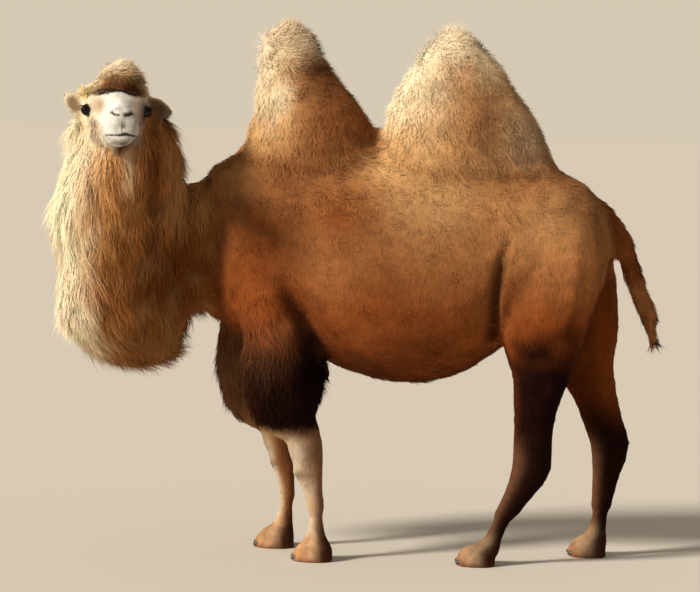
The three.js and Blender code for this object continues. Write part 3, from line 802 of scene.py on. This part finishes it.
# fore legs: dark sleeves with browner front edges, partly painted light; pale shins, darker behind with painted
# shade
sleeveLow = soft(0.95, 0.71, height + 0.02 * fine - 0.10 * soft(-0.30, -0.15, x) * (y < 0))
innerSide = soft(0.3, -0.2, normals[:, 1])
cuffEdge = np.where(y < 0, 0.50, 0.475) + 0.010 * fine
paint(foreUpper,
      ("cocoa", soft(1.02, 0.84, height) * 0.4),
      ("sable", sleeveLow * 0.97),
      # browner hair and painted light where the sleeve faces forwards
      ("cocoa", sleeveLow * soft(0.62, 0.80, height) * soft(0.0, 0.6, towards) * 0.3),
      ("bay", sleeveLow * soft(0.35, 0.85, towards) * 0.2))
# painted light: the far sleeve is lighter on the inner side it turns to the light
paint(isFrom("foreleg_right_upper"),
      ("cocoa", innerSide * sleeveLow * 0.95),
      ("fawn", innerSide * sleeveLow * 0.30),
      ("bay", sleeveLow * soft(0.2, 0.8, towards) * 0.15))
paint(foreLower,
      ("sand", 1.0),
      ("umber", soft(cuffEdge - 0.015, cuffEdge + 0.015, z) * 0.95),
      # painted shade: tan, bay and cocoa where the shin faces aside or back, away from the light
      ("tan", soft(0.1, -0.7, towards) * 0.75),
      ("bay", soft(-0.1, -0.9, towards) * soft(0.30, 0.12, z) * 0.5),
      ("tan", soft(0.0, 0.8, ripple(body, 0.07, 12)) * 0.5),
      ("cocoa", soft(0.58, -0.15, towards) * 0.8))
# painted shade: the far shin is darker except along its front
paint(isFrom("foreleg_right_lower"),
      ("tan", soft(0.75, 0.2, towards) * 0.85),
      ("bay", soft(0.62, 0.10, towards) * 0.85))
# hind legs: dark below the stifle, warmer along their front edges, where the colour holds painted light
hindLow = soft(1.01, 0.75, height + 0.045 * fine - 0.06 * towards + 0.10 * (y > 0))
farThigh = soft(0.50, 0.70, z) * soft(1.25, 1.00, height)
paint(hindLegs,
      ("bay", soft(1.06, 0.92, height + 0.04 * fine) * 0.75),
      ("sable", hindLow * 0.95),
      # painted light: bay along the front edge
      ("bay", hindLow * soft(0.5, 0.95, towards) * 0.5))
paint(isFrom("hindleg_right"),
      ("bay", farThigh * 0.95),
      ("russet", farThigh * soft(0.1, -0.5, towards) * 0.6))
# painted light: cocoa on the forward-facing lower legs
paint(hindLegs, ("cocoa", hindLow * soft(0.05, 0.75, towards) * soft(0.56, 0.40, z) * 0.85))
# feet, ankles and knees
legEnds = feetPart | foreLower | hindLegs
ankle = soft(0.15, 0.07, z + 0.006 * fine + 0.03 * soft(0.2, -0.6, towards))
toeward = soft(-0.1, 0.6, towards)
paint(legEnds,
      ("sand", ankle * 0.5),
      ("tan", ankle * (0.2 + 0.25 * toeward)),
      ("cocoa", ankle * soft(0.1, 0.7, ripple(body, 0.03, 15)) * 0.3),
      ("rust", soft(0.055, 0.02, z + 0.01 * fine) * toeward * 0.3))
paint(feetPart, ("bay", soft(0.1, -0.7, towards) * 0.75))
paint(legEnds, ("umber", soft(0.16, 0.08, z) * soft(0.25, -0.4, towards) * 0.85))
paint(isFrom("foreleg_left_lower"), ("umber", patch(-0.236, 0.338, 0.014, 0.014) * 0.9))
paint(isFrom("foreleg_right_lower"), ("umber", patch(-0.352, 0.338, 0.014, 0.014) * 0.9))
paint(feetPart, ("bay", soft(0.020, 0.008, z) * 0.6))
# tail
paint(isFrom("tail"), ("russet", 0.7), ("bay", soft(0.2, -0.6, towards) * 0.3))
paint(isFrom("tail_tuft"), ("fawn", 0.6))
# head: white blaze and muzzle, cream cheeks, tan round the eyes; painted shade in grey, mauve and plum on the
# shaded side and in the hollows, and dark painted shade round the nostrils, in the mouth and under the lips
forward, across, above = head.T
leftward, rightward = soft(0.02, -0.03, across), soft(-0.02, 0.03, across)
paint(facePart,
      ("white", 1.0),
      # a faint grey over the front of the muzzle
      ("ash", soft(0.16, 0.22, forward) * 0.14),
      ("cream", soft(0.05, -0.07, forward) * 0.95),
      ("cream", soft(0.20, 0.06, forward) * soft(0.045, 0.085, abs(across)) * 0.6),
      ("cream", soft(0.0, -0.07, above) * soft(0.12, 0.05, forward) * rightward * 0.8),
      # painted shade: rust and bay on the shaded left cheek, where the right one is cream
      ("rust", soft(0.0, -0.05, above) * soft(0.15, 0.08, forward) * leftward * 0.9),
      ("bay", soft(-0.02, -0.07, above) * soft(0.13, 0.06, forward) * leftward * 0.8),
      ("sand", facePatch(0.060, 0.078, 0.018, 0.070, 0.034, 0.028) * 0.95),
      ("tan", facePatch(0.060, 0.078, 0.018, 0.070, 0.034, 0.028) * 0.35),
      ("cocoa", facePatch(0.055, 0.082, 0.016, 0.050, 0.026, 0.024) * 0.25),
      # painted shade: mauve round the left eye and down the shaded side of the face
      ("mauve", facePatch(0.050, -0.080, 0.030, 0.080, 0.045, 0.030) * 0.8),
      ("mauve", soft(-0.03, -0.09, across) * soft(0.22, 0.10, forward) * 0.6),
      ("rust", facePatch(0.045, 0.094, -0.066, 0.055, 0.016, 0.036)),
      ("rust", facePatch(0.060, 0.082, -0.095, 0.040, 0.013, 0.020) * 0.6),
      # painted shade: grey in the hollow before the left eye and over the shaded side of the face
      ("ash", facePatch(0.10, -0.070, -0.03, 0.06, 0.03, 0.04) * 0.3),
      ("ash", soft(-0.02, -0.12, across) * soft(0.24, 0.0, forward) * 0.2),
      ("tan", soft(0.050, 0.075, above) * soft(0.02, 0.08, abs(across)) * 0.5),
      # painted shade: grey on the shaded side of the upper lip, between nostrils and mouth, and under the lower
      # lip
      ("ash", facePatch(0.29, -0.034, -0.050, 0.06, 0.028, 0.045) * 0.5),
      ("ash", soft(0.0, -0.05, across) * soft(0.1, 0.2, forward) * 0.28),
      ("ash", facePatch(0.29, 0.0, -0.032, 0.06, 0.020, 0.020) * 0.55),
      ("ash", facePatch(0.27, -0.016, -0.120, 0.06, 0.040, 0.020) * 0.85),
      # painted shade: dark between and beside the nostrils, in the parting of the lip and under the lower lip
      ("slate", facePatch(0.29, -0.012, -0.014, 0.06, 0.014, 0.009) * 0.9),
      ("soot", facePatch(0.28, -0.036, -0.007, 0.06, 0.012, 0.008) * 0.9),
      ("slate", facePatch(0.29, -0.004, -0.056, 0.06, 0.010, 0.012) * 0.95),
      ("slate", facePatch(0.27, -0.006, -0.122, 0.06, 0.012, 0.008) * 0.85))
# painted shade: dark along the mouth and in the nostrils
paint(np.clip(mouth * 1.3, 0, 1), ("soot", 0.9))
paint(np.clip(slits * 1.6, 0, 1), ("soot", 0.97))
paint(lidWide * rightward, ("cream", 0.6))
# painted shade: plum round the left eye, on the shaded side of the face
paint(lidWide * leftward, ("plum", 0.95))
paint(facePart, ("plum", facePatch(0.020, -0.105, -0.006, 0.050, 0.040, 0.034) * 0.85))
# dark lid rims: partly dark skin, partly painted shade
paint(np.clip(lidRim * 1.3, 0, 1), ("soot", 0.95))
# ears and forelock, with the dark band across the brow below it, painted shade under the overhanging forelock
facing = normals @ headForwards
brow = soft(-0.06, 0.04, forward) * soft(0.24, 0.14, forward)
shadeBandTop = 0.022 + 0.006 * fine
shadeBand = brow * soft(-0.003, 0.004, aboveLine) * soft(shadeBandTop + 0.012, shadeBandTop, aboveLine)
besideEars = soft(0.03, -0.02, forward) * soft(0.040, 0.065, above)
paint(ears, ("cream", 0.95))
# the left ear, on the shaded side: painted shade in umber where it does not face up, painted light in straw
# along its upturned rim
paint(isFrom("ear_left"),
      ("umber", soft(0.75, 0.35, upwards) * 0.8),
      ("straw", soft(0.3, 0.7, upwards) * 0.7))
# painted shade in the hollow of each ear
paint(np.clip(earHollow * 1.3, 0, 1), ("cocoa", 0.8))
paint(forelock,
      ("cocoa", 1.0),
      ("fawn", 0.35),
      # painted light: tan and straw on the lit right side; painted shade: bay low on the left
      ("tan", soft(0.02, 0.08, across) * 0.6),
      ("bay", facePatch(0.03, -0.045, 0.095, 0.2, 0.06, 0.035) * 0.6),
      # pale rim round the dome: partly pale tips, partly painted light
      ("honey", np.maximum(soft(0.70, 0.30, facing) * 0.8, soft(0.138, 0.160, above + 0.006 * fine)) * 0.95),
      ("cream", np.maximum(soft(0.6, 0.2, facing) * 0.7, soft(0.142, 0.160, above)) * 0.9),
      ("straw", soft(0.075, 0.11, across) * 0.7))
# painted shade: cocoa on the brow and a sable band under the forelock
paint(facePart, ("cocoa", brow * soft(0.0, 0.008, aboveLine)))
paint(facePart | forelock, ("sable", shadeBand * 0.95))
# beside the ears: straw as painted light on the lit right side, tan as painted shade on the left
paint(facePart, ("straw", besideEars * rightward * 0.7), ("tan", besideEars * leftward * 0.7))
coatColour *= (1 + 0.07 * drift + 0.05 * fine)[:, None]
coatColour = blurred(np.clip(coatColour, 0.002, 0.95), 3, np.where(facePart, 0.2, 0.5))
print("markings painted")
nearlyBare = facePart | feetPart | foreLower  # here the hide is as light as its hair; elsewhere it is darkened as painted shade deep among the hairs
putColour(skin.data, "coatColour", coatColour * np.where(nearlyBare, 0.97, 0.86)[:, None])

# finishes

def hairFinish(name, strand, bumpy, grain):
    # hair on the hide: dull, with a faint sheen at grazing light; strand is the width of a lock of hair
    finish, tree, shader = newFinish(name)
    shader.inputs["Roughness"].default_value = 0.85
    shader.inputs["Specular IOR Level"].default_value = 0.03
    shader.inputs["Sheen Weight"].default_value = 0.005
    shader.inputs["Sheen Roughness"].default_value = 0.5
    place = addNode(tree, "ShaderNodeTexCoord")
    colour = addNode(tree, "ShaderNodeAttribute", {"attribute_name": "coatColour"})
    patches = addNode(tree, "ShaderNodeTexNoise", {"Scale": 1 / 0.035, "Detail": 3.0},
                      {"Vector": place.outputs["Object"]})
    tall = addNode(tree, "ShaderNodeMapping", {"Scale": (1.0, 1.0, 0.35)}, {"Vector": place.outputs["Object"]})
    strands = addNode(tree, "ShaderNodeTexNoise", {"Scale": 0.5 / strand, "Detail": 4.0, "Roughness": 0.6},
                      {"Vector": tall.outputs["Vector"]})
    both = addNode(tree, "ShaderNodeMath", {"operation": "ADD"},
                   {0: patches.outputs["Fac"], 1: strands.outputs["Fac"]})
    level = addNode(tree, "ShaderNodeMapRange",
                    {"From Min": 0.6, "From Max": 1.4, "To Min": 1 - grain, "To Max": 1 + grain},
                    {"Value": both.outputs["Value"]})
    toned = addNode(tree, "ShaderNodeVectorMath", {"operation": "SCALE"},
                    {0: colour.outputs["Color"], "Scale": level.outputs["Result"]})
    tree.links.new(toned.outputs["Vector"], shader.inputs["Base Color"])
    if bumpy:
        bump = addNode(tree, "ShaderNodeBump", {"Strength": bumpy, "Distance": strand * 0.8},
                       {"Height": strands.outputs["Fac"]})
        tree.links.new(bump.outputs["Normal"], shader.inputs["Normal"])
    return finish


hideFinish = hairFinish("short hair on hide", strand=0.005, bumpy=0.9, grain=0.26)
woolFinish = hairFinish("loose wool", strand=0.006, bumpy=0, grain=0.16)
skin.data.materials.clear()
skin.data.materials.append(hideFinish)
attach(skin, "root")
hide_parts(*flesh)

# tufts

skin.data.calc_loop_triangles()
triangles = np.empty(len(skin.data.loop_triangles) * 3, np.int32)
skin.data.loop_triangles.foreach_get("vertices", triangles)
triangles = triangles.reshape(-1, 3)
triangleNode = fromNode[triangles[:, 0]]
centres = skinPoints[triangles].mean(1)
print("skin:", len(triangles), "triangles")

tuftSetup = {
    "root": 0.0025,  # how deep a tuft's root sits in the skin
    "thick": {2: (0.8, 0.8), 3: (0.75, 1.0, 0.7)},  # of each ring of 2 or 3, as a share of the tuft's width
    "patch": (0.0024, 0.0026),  # a tuft's patch on the map, wide and high
    "outward": 0.4,  # how far a tuft follows a lie that points away from the skin
    "ground": 0.0008,  # no hair goes lower
    "clump": 0.21,  # painted shade: how much darker wool is between its curls
}
lash = {"count": 26, "length": 0.019, "width": 0.0016, "lift": math.radians(55), "curl": 0.12}


def unwrapped(chosen):  # the patch of skin that a piece grows on, unwrapped on its own
    used, local = np.unique(chosen, return_inverse=True)
    mesh = bpy.data.meshes.new("patch")
    mesh.from_pydata(skinPoints[used].tolist(), [], local.reshape(-1, 3).tolist())
    patch = bpy.data.objects.new("patch", mesh)
    bpy.context.scene.collection.objects.link(patch)
    bpy.ops.object.select_all(action="DESELECT")
    patch.select_set(True)
    bpy.context.view_layer.objects.active = patch
    bpy.ops.object.mode_set(mode="EDIT")
    bpy.ops.mesh.select_all(action="SELECT")
    bpy.ops.uv.smart_project(angle_limit=math.radians(75), island_margin=0.004)
    bpy.ops.object.mode_set(mode="OBJECT")
    uv = np.empty(len(mesh.loops) * 2, np.float32)
    mesh.uv_layers[0].data.foreach_get("uv", uv)
    bpy.data.objects.remove(patch)
    bpy.data.meshes.remove(mesh)
    return uv.reshape(-1, 3, 2)


def lashRoots(each):  # along the upper lid of each eye, leaning out and down
    roots, outs, lies = [], [], []
    for side, spot in eyeSpots.items():
        gaze, level, up = eyeAxes(side)
        for around in np.linspace(0.15, math.pi - 0.15, each):
            turn = faceSetup["opening"][0] * 1.04 * math.cos(around)
            tilt = faceSetup["opening"][1] * 0.95 * math.sin(around)
            out = gaze * math.cos(tilt) * math.cos(turn) + level * math.cos(tilt) * math.sin(turn)
            out = out + up * math.sin(tilt)
            roots.append(spot + out * (faceSetup["eyeRadius"] + 0.004))
            outs.append(out)
            lies.append(unit(out * 0.4 + np.array([0, 0, -0.35]) + 0.3 * gaze))
    return np.array(roots), np.array(outs), np.array(lies)


def tuftCorners(rings, count):  # three-sided tufts, closed at the root and running to a point
    faces = [(0, 2, 1)]
    for k in range(rings - 1):
        for j in range(3):
            p, q = k * 3 + j, k * 3 + (j + 1) % 3
            faces += [(p, q, q + 3), (p, q + 3, p + 3)]
    last = (rings - 1) * 3
    faces += [(last + j, last + (j + 1) % 3, rings * 3) for j in range(3)]
    starts = np.arange(count) * (rings * 3 + 1)
    return (np.array(faces)[None] + starts[:, None, None]).reshape(-1)


def tuftMesh(name, points, corners, spotUv, facing, colours):
    mesh = bpy.data.meshes.new(name)
    mesh.vertices.add(len(points))
    mesh.vertices.foreach_set("co", points.astype(np.float32).ravel())
    mesh.loops.add(len(corners))
    mesh.loops.foreach_set("vertex_index", corners.astype(np.int32))
    mesh.polygons.add(len(corners) // 3)
    mesh.polygons.foreach_set("loop_start", np.arange(0, len(corners), 3, dtype=np.int32))
    mesh.polygons.foreach_set("use_smooth", np.ones(len(corners) // 3, bool))
    mesh.update(calc_edges=True)
    layer = mesh.uv_layers.new(name="OFBake")
    layer.data.foreach_set("uv", np.clip(spotUv[corners], 0, 1).astype(np.float32).ravel())
    putColour(mesh, "coatColour", colours)
    mesh.materials.append(woolFinish)
    mesh.normals_split_custom_set_from_vertices(unit(facing).astype(np.float32))
    return mesh


def growTufts(name, setup):
    pick = np.random.default_rng(setup["seed"])
    count, rings = setup["count"], setup.get("rings", 2)
    dim, bright = setup.get("dim", 0.80), setup.get("bright", 1.08)
    own = np.isin(triangleNode, [k for k, n in enumerate(flesh) if n.startswith(setup["grows"])])
    if "where" in setup:
        own &= setup["where"](centres - bodyOrigin)
    chosen = triangles[own]
    uv = unwrapped(chosen)
    a, b, c = (skinPoints[chosen[:, k]] for k in range(3))
    area = np.linalg.norm(np.cross(b - a, c - a), axis=1) / 2
    want = area * (setup["more"](centres[own]) if "more" in setup else 1)
    where = pick.choice(len(chosen), count, p=want / want.sum())
    u, v = pick.random(count), pick.random(count)
    flip = u + v > 1
    u[flip], v[flip] = 1 - u[flip], 1 - v[flip]
    share = np.stack([1 - u - v, u, v], 1)

    def here(values):  # what the skin says at each root
        return np.einsum("ij,ij...->i...", share, values[chosen[where]])

    root, normal, lie = here(skinPoints), unit(here(normals)), unit(here(groom))
    long = here(length) * pick.uniform(0.65, 1.3, count) * (1 + 0.25 * ripple(root, 0.05, setup["seed"] + 1))
    broad = here(width) * pick.uniform(0.7, 1.3, count)
    raised = np.radians(np.clip(here(lift) * pick.uniform(0.5, 1.5, count), 4, 85))
    wave = here(curl)
    tone = here(coatColour)
    spot = np.einsum("ij,ijk->ik", share, uv[where])
    if setup.get("lashes"):  # the last tufts of this piece stand along the upper lids instead
        spare = slice(count - 2 * lash["count"], count)
        root[spare], normal[spare], lie[spare] = lashRoots(lash["count"])
        nearest = np.array([np.argmin(((centres[own] - r) ** 2).sum(1)) for r in root[spare]])
        spot[spare] = uv[nearest].mean(1)
        long[spare], broad[spare], raised[spare], wave[spare] = (
            lash[key] for key in ("length", "width", "lift", "curl"))
        tone[spare] = shades["umber"]

    # locks: neighbours lean the same way
    stray = setup.get("stray", 0.25)
    lean = stray * ripple(root, 0.045, setup["seed"] + 2) + 0.5 * stray * pick.normal(size=count)
    lie = unit(lie + unit(np.cross(lie, normal)) * lean[:, None])
    outward = (lie * normal).sum(1)
    flat = unit(lie - normal * outward[:, None])
    raised = np.maximum(raised, tuftSetup["outward"] * np.arcsin(np.clip(outward, -1, 1)))
    ending = np.maximum(raised * setup.get("settle", 0.35), 0.02)
    first = flat * np.cos(raised)[:, None] + normal * np.sin(raised)[:, None]
    last = flat * np.cos(ending)[:, None] + normal * np.sin(ending)[:, None]
    last = unit(last + np.array([0, 0, -setup.get("fall", 0.0)]))
    side = unit(np.cross(first, normal))
    side[np.linalg.norm(np.cross(first, normal), axis=1) < 1e-3] = [0, 1, 0]

    # rings of three points, and one at the tip
    size = rings * 3 + 1
    points, facing = np.empty((count, size, 3)), np.empty((count, size, 3))
    spotUv, light = np.empty((count, size, 2)), np.empty((count, size))
    patchWide, patchHigh = tuftSetup["patch"]
    phase, speed = pick.uniform(0, 6.28, count), pick.uniform(0.5, 1.1, count)
    spin = pick.uniform(-0.6, 0.6, count)
    turned, upright = np.cos(spin)[:, None], np.sin(spin)[:, None]
    centre = root - normal * (tuftSetup["root"] + 0.1 * broad)[:, None]
    for k in range(rings + 1):
        s = k / rings
        if k:
            middle = ((k - 1) / rings + s) / 2
            way = unit(first * (1 - middle) + last * middle)
            centre = centre + way * (long * (s - (k - 1) / rings))[:, None]
        over = unit(np.cross(side, unit(first * (1 - s) + last * s)))
        swing = phase + 6.28 * speed * s
        bend = side * np.sin(swing)[:, None] + over * (0.5 * np.cos(swing))[:, None]
        at = centre + (wave * long * s)[:, None] * bend
        if k == rings:
            points[:, -1], facing[:, -1], light[:, -1] = at, normal, bright
            spotUv[:, -1] = spot + [0, patchHigh / 2]
            continue
        half = broad * tuftSetup["thick"][rings][k] / 2
        across = side * turned + over * upright
        above = over * turned - side * upright
        points[:, k * 3] = at + across * half[:, None]
        points[:, k * 3 + 1] = at - across * half[:, None]
        points[:, k * 3 + 2] = at + above * (half * 0.9)[:, None]
        for j, du in enumerate((-patchWide / 2, patchWide / 2, 0.0)):
            spotUv[:, k * 3 + j] = spot + [du, (s - 0.5) * patchHigh]
            facing[:, k * 3 + j] = unit(points[:, k * 3 + j] - at) * 0.55 + normal
        light[:, k * 3:k * 3 + 3] = dim * (1 - s) + bright * s
    points[:, :, 2] = np.maximum(points[:, :, 2], tuftSetup["ground"])

    # painted shade between the curls of woolly hair
    clump = soft(0.2, 1.2, ripple(root, 0.012, 31) + 0.6 * ripple(root, 0.007, 32))
    mixed = setup.get("mixed", 0.14) * pick.normal(size=count)
    tone = tone * (1 + mixed - tuftSetup["clump"] * clump * here(woolly))[:, None]
    colours = np.clip(tone[:, None] * light[:, :, None], 0.001, 1)
    corners = tuftCorners(rings, count)
    mesh = tuftMesh(name, points.reshape(-1, 3), corners, spotUv.reshape(-1, 2),
                    facing.reshape(-1, 3), colours.reshape(-1, 3))
    piece = bpy.data.objects.new(name, mesh)
    bpy.context.scene.collection.objects.link(piece)
    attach(piece, "root")
    print("coat:", name, count, "tufts,", len(corners) // 3, "triangles")


# stray: how far locks lean aside; settle: how much of its lift a tip keeps; fall: how far it hangs;
# mixed: how unlike neighbours are in tone; dim and bright: tone at root and tip
coats = {
    "coat_face": {"grows": ("head", "ear_"), "count": 12000, "seed": 11, "slot": "face_hair",
                  "stray": 0.12, "mixed": 0.05, "dim": 0.95, "bright": 1.04, "lashes": True},
    "coat_forelock": {"grows": ("forelock",), "count": 6500, "seed": 12, "slot": "wool",
                      "stray": 0.35, "settle": 0.7, "mixed": 0.10},
    "coat_neck": {"grows": ("neck_upper",), "count": 16000, "seed": 13, "slot": "pale_wool",
                  "stray": 0.28, "fall": 0.25, "settle": 0.4, "mixed": 0.08, "dim": 0.90},
    "coat_beard": {"grows": ("neck_lower", "beard"), "count": 17000, "seed": 14, "slot": "wool",
                   "stray": 0.28, "fall": 0.30, "settle": 0.4, "mixed": 0.08, "dim": 0.90},
    "coat_hump_front": {"grows": ("hump_front",), "count": 13000, "seed": 15, "slot": "pale_wool",
                        "stray": 0.6, "settle": 0.6, "mixed": 0.06, "dim": 0.90},
    "coat_hump_rear": {"grows": ("hump_rear",), "count": 14000, "seed": 16, "slot": "pale_wool",
                       "stray": 0.6, "settle": 0.6, "mixed": 0.06, "dim": 0.90},
    "coat_trunk_fore": {"grows": ("trunk",), "where": lambda p: p[:, 0] < -0.05, "count": 14000,
                        "seed": 17, "slot": "wool", "stray": 0.45, "mixed": 0.10},
    "coat_trunk_middle": {"grows": ("trunk",), "where": lambda p: abs(p[:, 0] - 0.2) <= 0.25,
                          "count": 14000, "seed": 18, "slot": "wool", "stray": 0.45, "mixed": 0.08},
    "coat_trunk_rear": {"grows": ("trunk",), "where": lambda p: p[:, 0] > 0.45, "count": 13000,
                        "seed": 22, "slot": "wool", "stray": 0.45, "mixed": 0.08},
    "coat_forelegs": {"grows": ("foreleg_",), "count": 12000, "seed": 19, "slot": "dark_wool",
                      "stray": 0.3, "fall": 0.2, "mixed": 0.10},
    "coat_hindlegs": {"grows": ("hindleg_",), "count": 12500, "seed": 20, "slot": "wool", "mixed": 0.08},
    "coat_tail": {"grows": ("tail",), "count": 3600, "rings": 3, "seed": 21, "slot": "wool", "stray": 0.3,
                  "more": lambda p: 1 + 2.5 * soft(1.15, 0.95, p[:, 2])},  # thicker towards its end
}
for name, setup in coats.items():
    growTufts(name, setup)

# eyes

eyeFinish, eyeTree, eyeShader = newFinish("wet eye")  # cornea over a dark iris: a clear, sharp highlight
eyeShader.inputs["Roughness"].default_value = 0.12
eyeShader.inputs["IOR"].default_value = 1.26
eyeShader.inputs["Coat Weight"].default_value = 0.06
eyeShader.inputs["Coat Roughness"].default_value = 0.03
eyeColour = addNode(eyeTree, "ShaderNodeAttribute", {"attribute_name": "eyeColour"})
eyeTree.links.new(eyeColour.outputs["Color"], eyeShader.inputs["Base Color"])
eyeSetup = {
    "cornea": 0.0016,  # how far it stands out
    "iris": 0.66, "pupil": (0.36, 0.17),  # as shares of the eye's radius; the pupil lies flat
    "brown": "#150B08", "black": "#030202", "white": "#16100E",
}


def eyePaint(across, high, facing):
    brown, black, white = (linear(eyeSetup[key]) for key in ("brown", "black", "white"))
    iris = np.sqrt(across ** 2 + high ** 2) / eyeSetup["iris"]
    pupilWide, pupilHigh = eyeSetup["pupil"]
    pupil = soft(1.15, 0.9, np.sqrt((across / pupilWide) ** 2 + (high / pupilHigh) ** 2))[:, None]
    colour = np.tile(brown, (len(iris), 1)) * (0.6 + 0.7 * soft(0.2, 0.9, iris))[:, None]
    colour = colour * (1 - pupil) + black * pupil
    rim = (soft(0.9, 1.0, iris) * (facing > 0))[:, None]
    colour = colour * (1 - rim) + black * rim
    out = np.where(facing > 0, soft(1.02, 1.12, iris), 1)[:, None]
    return colour * (1 - out) + white * out


for side, spot in eyeSpots.items():
    eye = newSphere("eyeball_" + side, segments=48, ring_count=32, radius=faceSetup["eyeRadius"], location=spot)
    gaze, level, up = eyeAxes(side)
    points = pointsOf(eye.data)
    d = unit(points - spot)
    facing = d @ gaze
    points += d * (eyeSetup["cornea"] * soft(0.75, 0.95, facing))[:, None]
    putPoints(eye.data, points)
    putColour(eye.data, "eyeColour", eyePaint(d @ level, d @ up, facing))
    eye.data.materials.append(eyeFinish)
    shadeSmooth(eye.data)
    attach(eye, "root")
    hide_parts("eye_" + side)
print("eyes made")

# nails

nailFinish, nailTree, nailShader = newFinish("dull horn")  # grown horn: dark, with fine bands across it
nailShader.inputs["Roughness"].default_value = 0.45
nailShader.inputs["IOR"].default_value = 1.55
nailPlace = addNode(nailTree, "ShaderNodeTexCoord")
nailBands = addNode(nailTree, "ShaderNodeTexWave", {"Scale": 1 / 0.012, "Distortion": 3.0, "Detail": 2.0},
                    {"Vector": nailPlace.outputs["Object"]})
nailRamp = addNode(nailTree, "ShaderNodeValToRGB", None, {"Fac": nailBands.outputs["Fac"]})
nailRamp.color_ramp.elements[0].color = (*linear("#2B231C"), 1)
nailRamp.color_ramp.elements[1].color = (*linear("#5A4A3A"), 1)
nailTree.links.new(nailRamp.outputs["Color"], nailShader.inputs["Base Color"])
nailSetup = {"back": 0.007, "down": 0.003, "height": 0.85, "hook": 0.005, "narrowing": 0.3, "tip": -0.018}
for name in sorted(n for n in nodes if "_nail_" in n):
    low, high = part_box(name)
    nail = newSphere("horn_" + name, segments=24, ring_count=16, radius=1,
                     location=(low + high) / 2, scale=(high - low) / 2)
    points = pointsOf(nail.data)
    middle = np.array((low + high) / 2)
    d = points - middle
    narrow = 1 - nailSetup["narrowing"] * soft(0.004, nailSetup["tip"], d[:, 0])
    hook = nailSetup["hook"] * soft(0.0, nailSetup["tip"], d[:, 0])
    points[:, 1] = middle[1] + d[:, 1] * narrow
    points[:, 2] = middle[2] - nailSetup["down"] + d[:, 2] * nailSetup["height"] - hook
    points[:, 0] += nailSetup["back"]
    points[:, 2] = np.maximum(points[:, 2], 0.001)
    putPoints(nail.data, points)
    nail.data.materials.append(nailFinish)
    shadeSmooth(nail.data)
    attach(nail, "root")
    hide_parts(name)
print("nails made")

# studio

bpy.ops.object.select_all(action="DESELECT")
bpy.ops.mesh.primitive_plane_add(size=400, location=(0, 0, 0))
floor = bpy.context.object
floor.name = "floor"
floorFinish, _, floorShader = newFinish("matt pale paper")
floorShader.inputs["Base Color"].default_value = (*linear("#D9D2C6"), 1)
floorShader.inputs["Roughness"].default_value = 0.9
floor.data.materials.append(floorFinish)

studio = {
    "sun": 4.3, "sunAngle": 11, "sunFrom": (-0.80, -0.58, 0.56), "sunColour": (1.0, 0.93, 0.82),
    "sky": 0.38, "skyColour": "#EFE4D4", "backdrop": 0.97, "backdropColour": "#D9CCB6",
}
sunData = bpy.data.lights.new("key", "SUN")
sunData.energy = studio["sun"]
sunData.angle = math.radians(studio["sunAngle"])
sunData.color = studio["sunColour"]
sun = bpy.data.objects.new("key", sunData)
sun.rotation_euler = Vector(studio["sunFrom"]).to_track_quat("Z", "Y").to_euler()
bpy.context.scene.collection.objects.link(sun)
world = bpy.data.worlds.new("studio")
world.use_nodes = True
worldTree = world.node_tree
sky = worldTree.nodes["Background"]
sky.inputs["Color"].default_value = (*linear(studio["skyColour"]), 1)
sky.inputs["Strength"].default_value = studio["sky"]
backdrop = addNode(worldTree, "ShaderNodeBackground",
                   {"Color": (*linear(studio["backdropColour"]), 1), "Strength": studio["backdrop"]})
seen = addNode(worldTree, "ShaderNodeLightPath")
either = addNode(worldTree, "ShaderNodeMixShader", None,
                 {"Fac": seen.outputs["Is Camera Ray"], 1: sky.outputs[0], 2: backdrop.outputs[0]})
worldTree.links.new(either.outputs[0], worldTree.nodes["World Output"].inputs["Surface"])
bpy.context.scene.view_settings.view_transform = "Standard"
bpy.context.scene.world = world

camera = {"away": 12.0, "height": 1.803, "aside": -0.075, "yaw": 0.11, "pitch": 3.62, "roll": 1.75,
          "focal": 3000, "pictureWidth": 700, "sensor": 36}  # focal length and picture width in pixels
cameraData = bpy.data.cameras.new("camera")
cameraData.sensor_width = camera["sensor"]
cameraData.lens = camera["sensor"] * camera["focal"] / camera["pictureWidth"]
cameraData.clip_end = 500
eyepoint = bpy.data.objects.new("camera", cameraData)
eyepoint.location = bodyOrigin + np.array([camera["aside"], -camera["away"], camera["height"]])
yaw, pitch, roll = (math.radians(camera[key]) for key in ("yaw", "pitch", "roll"))
look = np.array([math.sin(yaw) * math.cos(pitch), math.cos(yaw) * math.cos(pitch), -math.sin(pitch)])
right = np.array([math.cos(yaw), -math.sin(yaw), 0])
over = np.cross(right, look)
rolledRight = math.cos(roll) * right + math.sin(roll) * over
rolledUp = math.cos(roll) * over - math.sin(roll) * right
eyepoint.rotation_euler = Matrix((rolledRight, rolledUp, -look)).transposed().to_euler()
bpy.context.scene.collection.objects.link(eyepoint)
bpy.context.scene.camera = eyepoint
print("studio set")
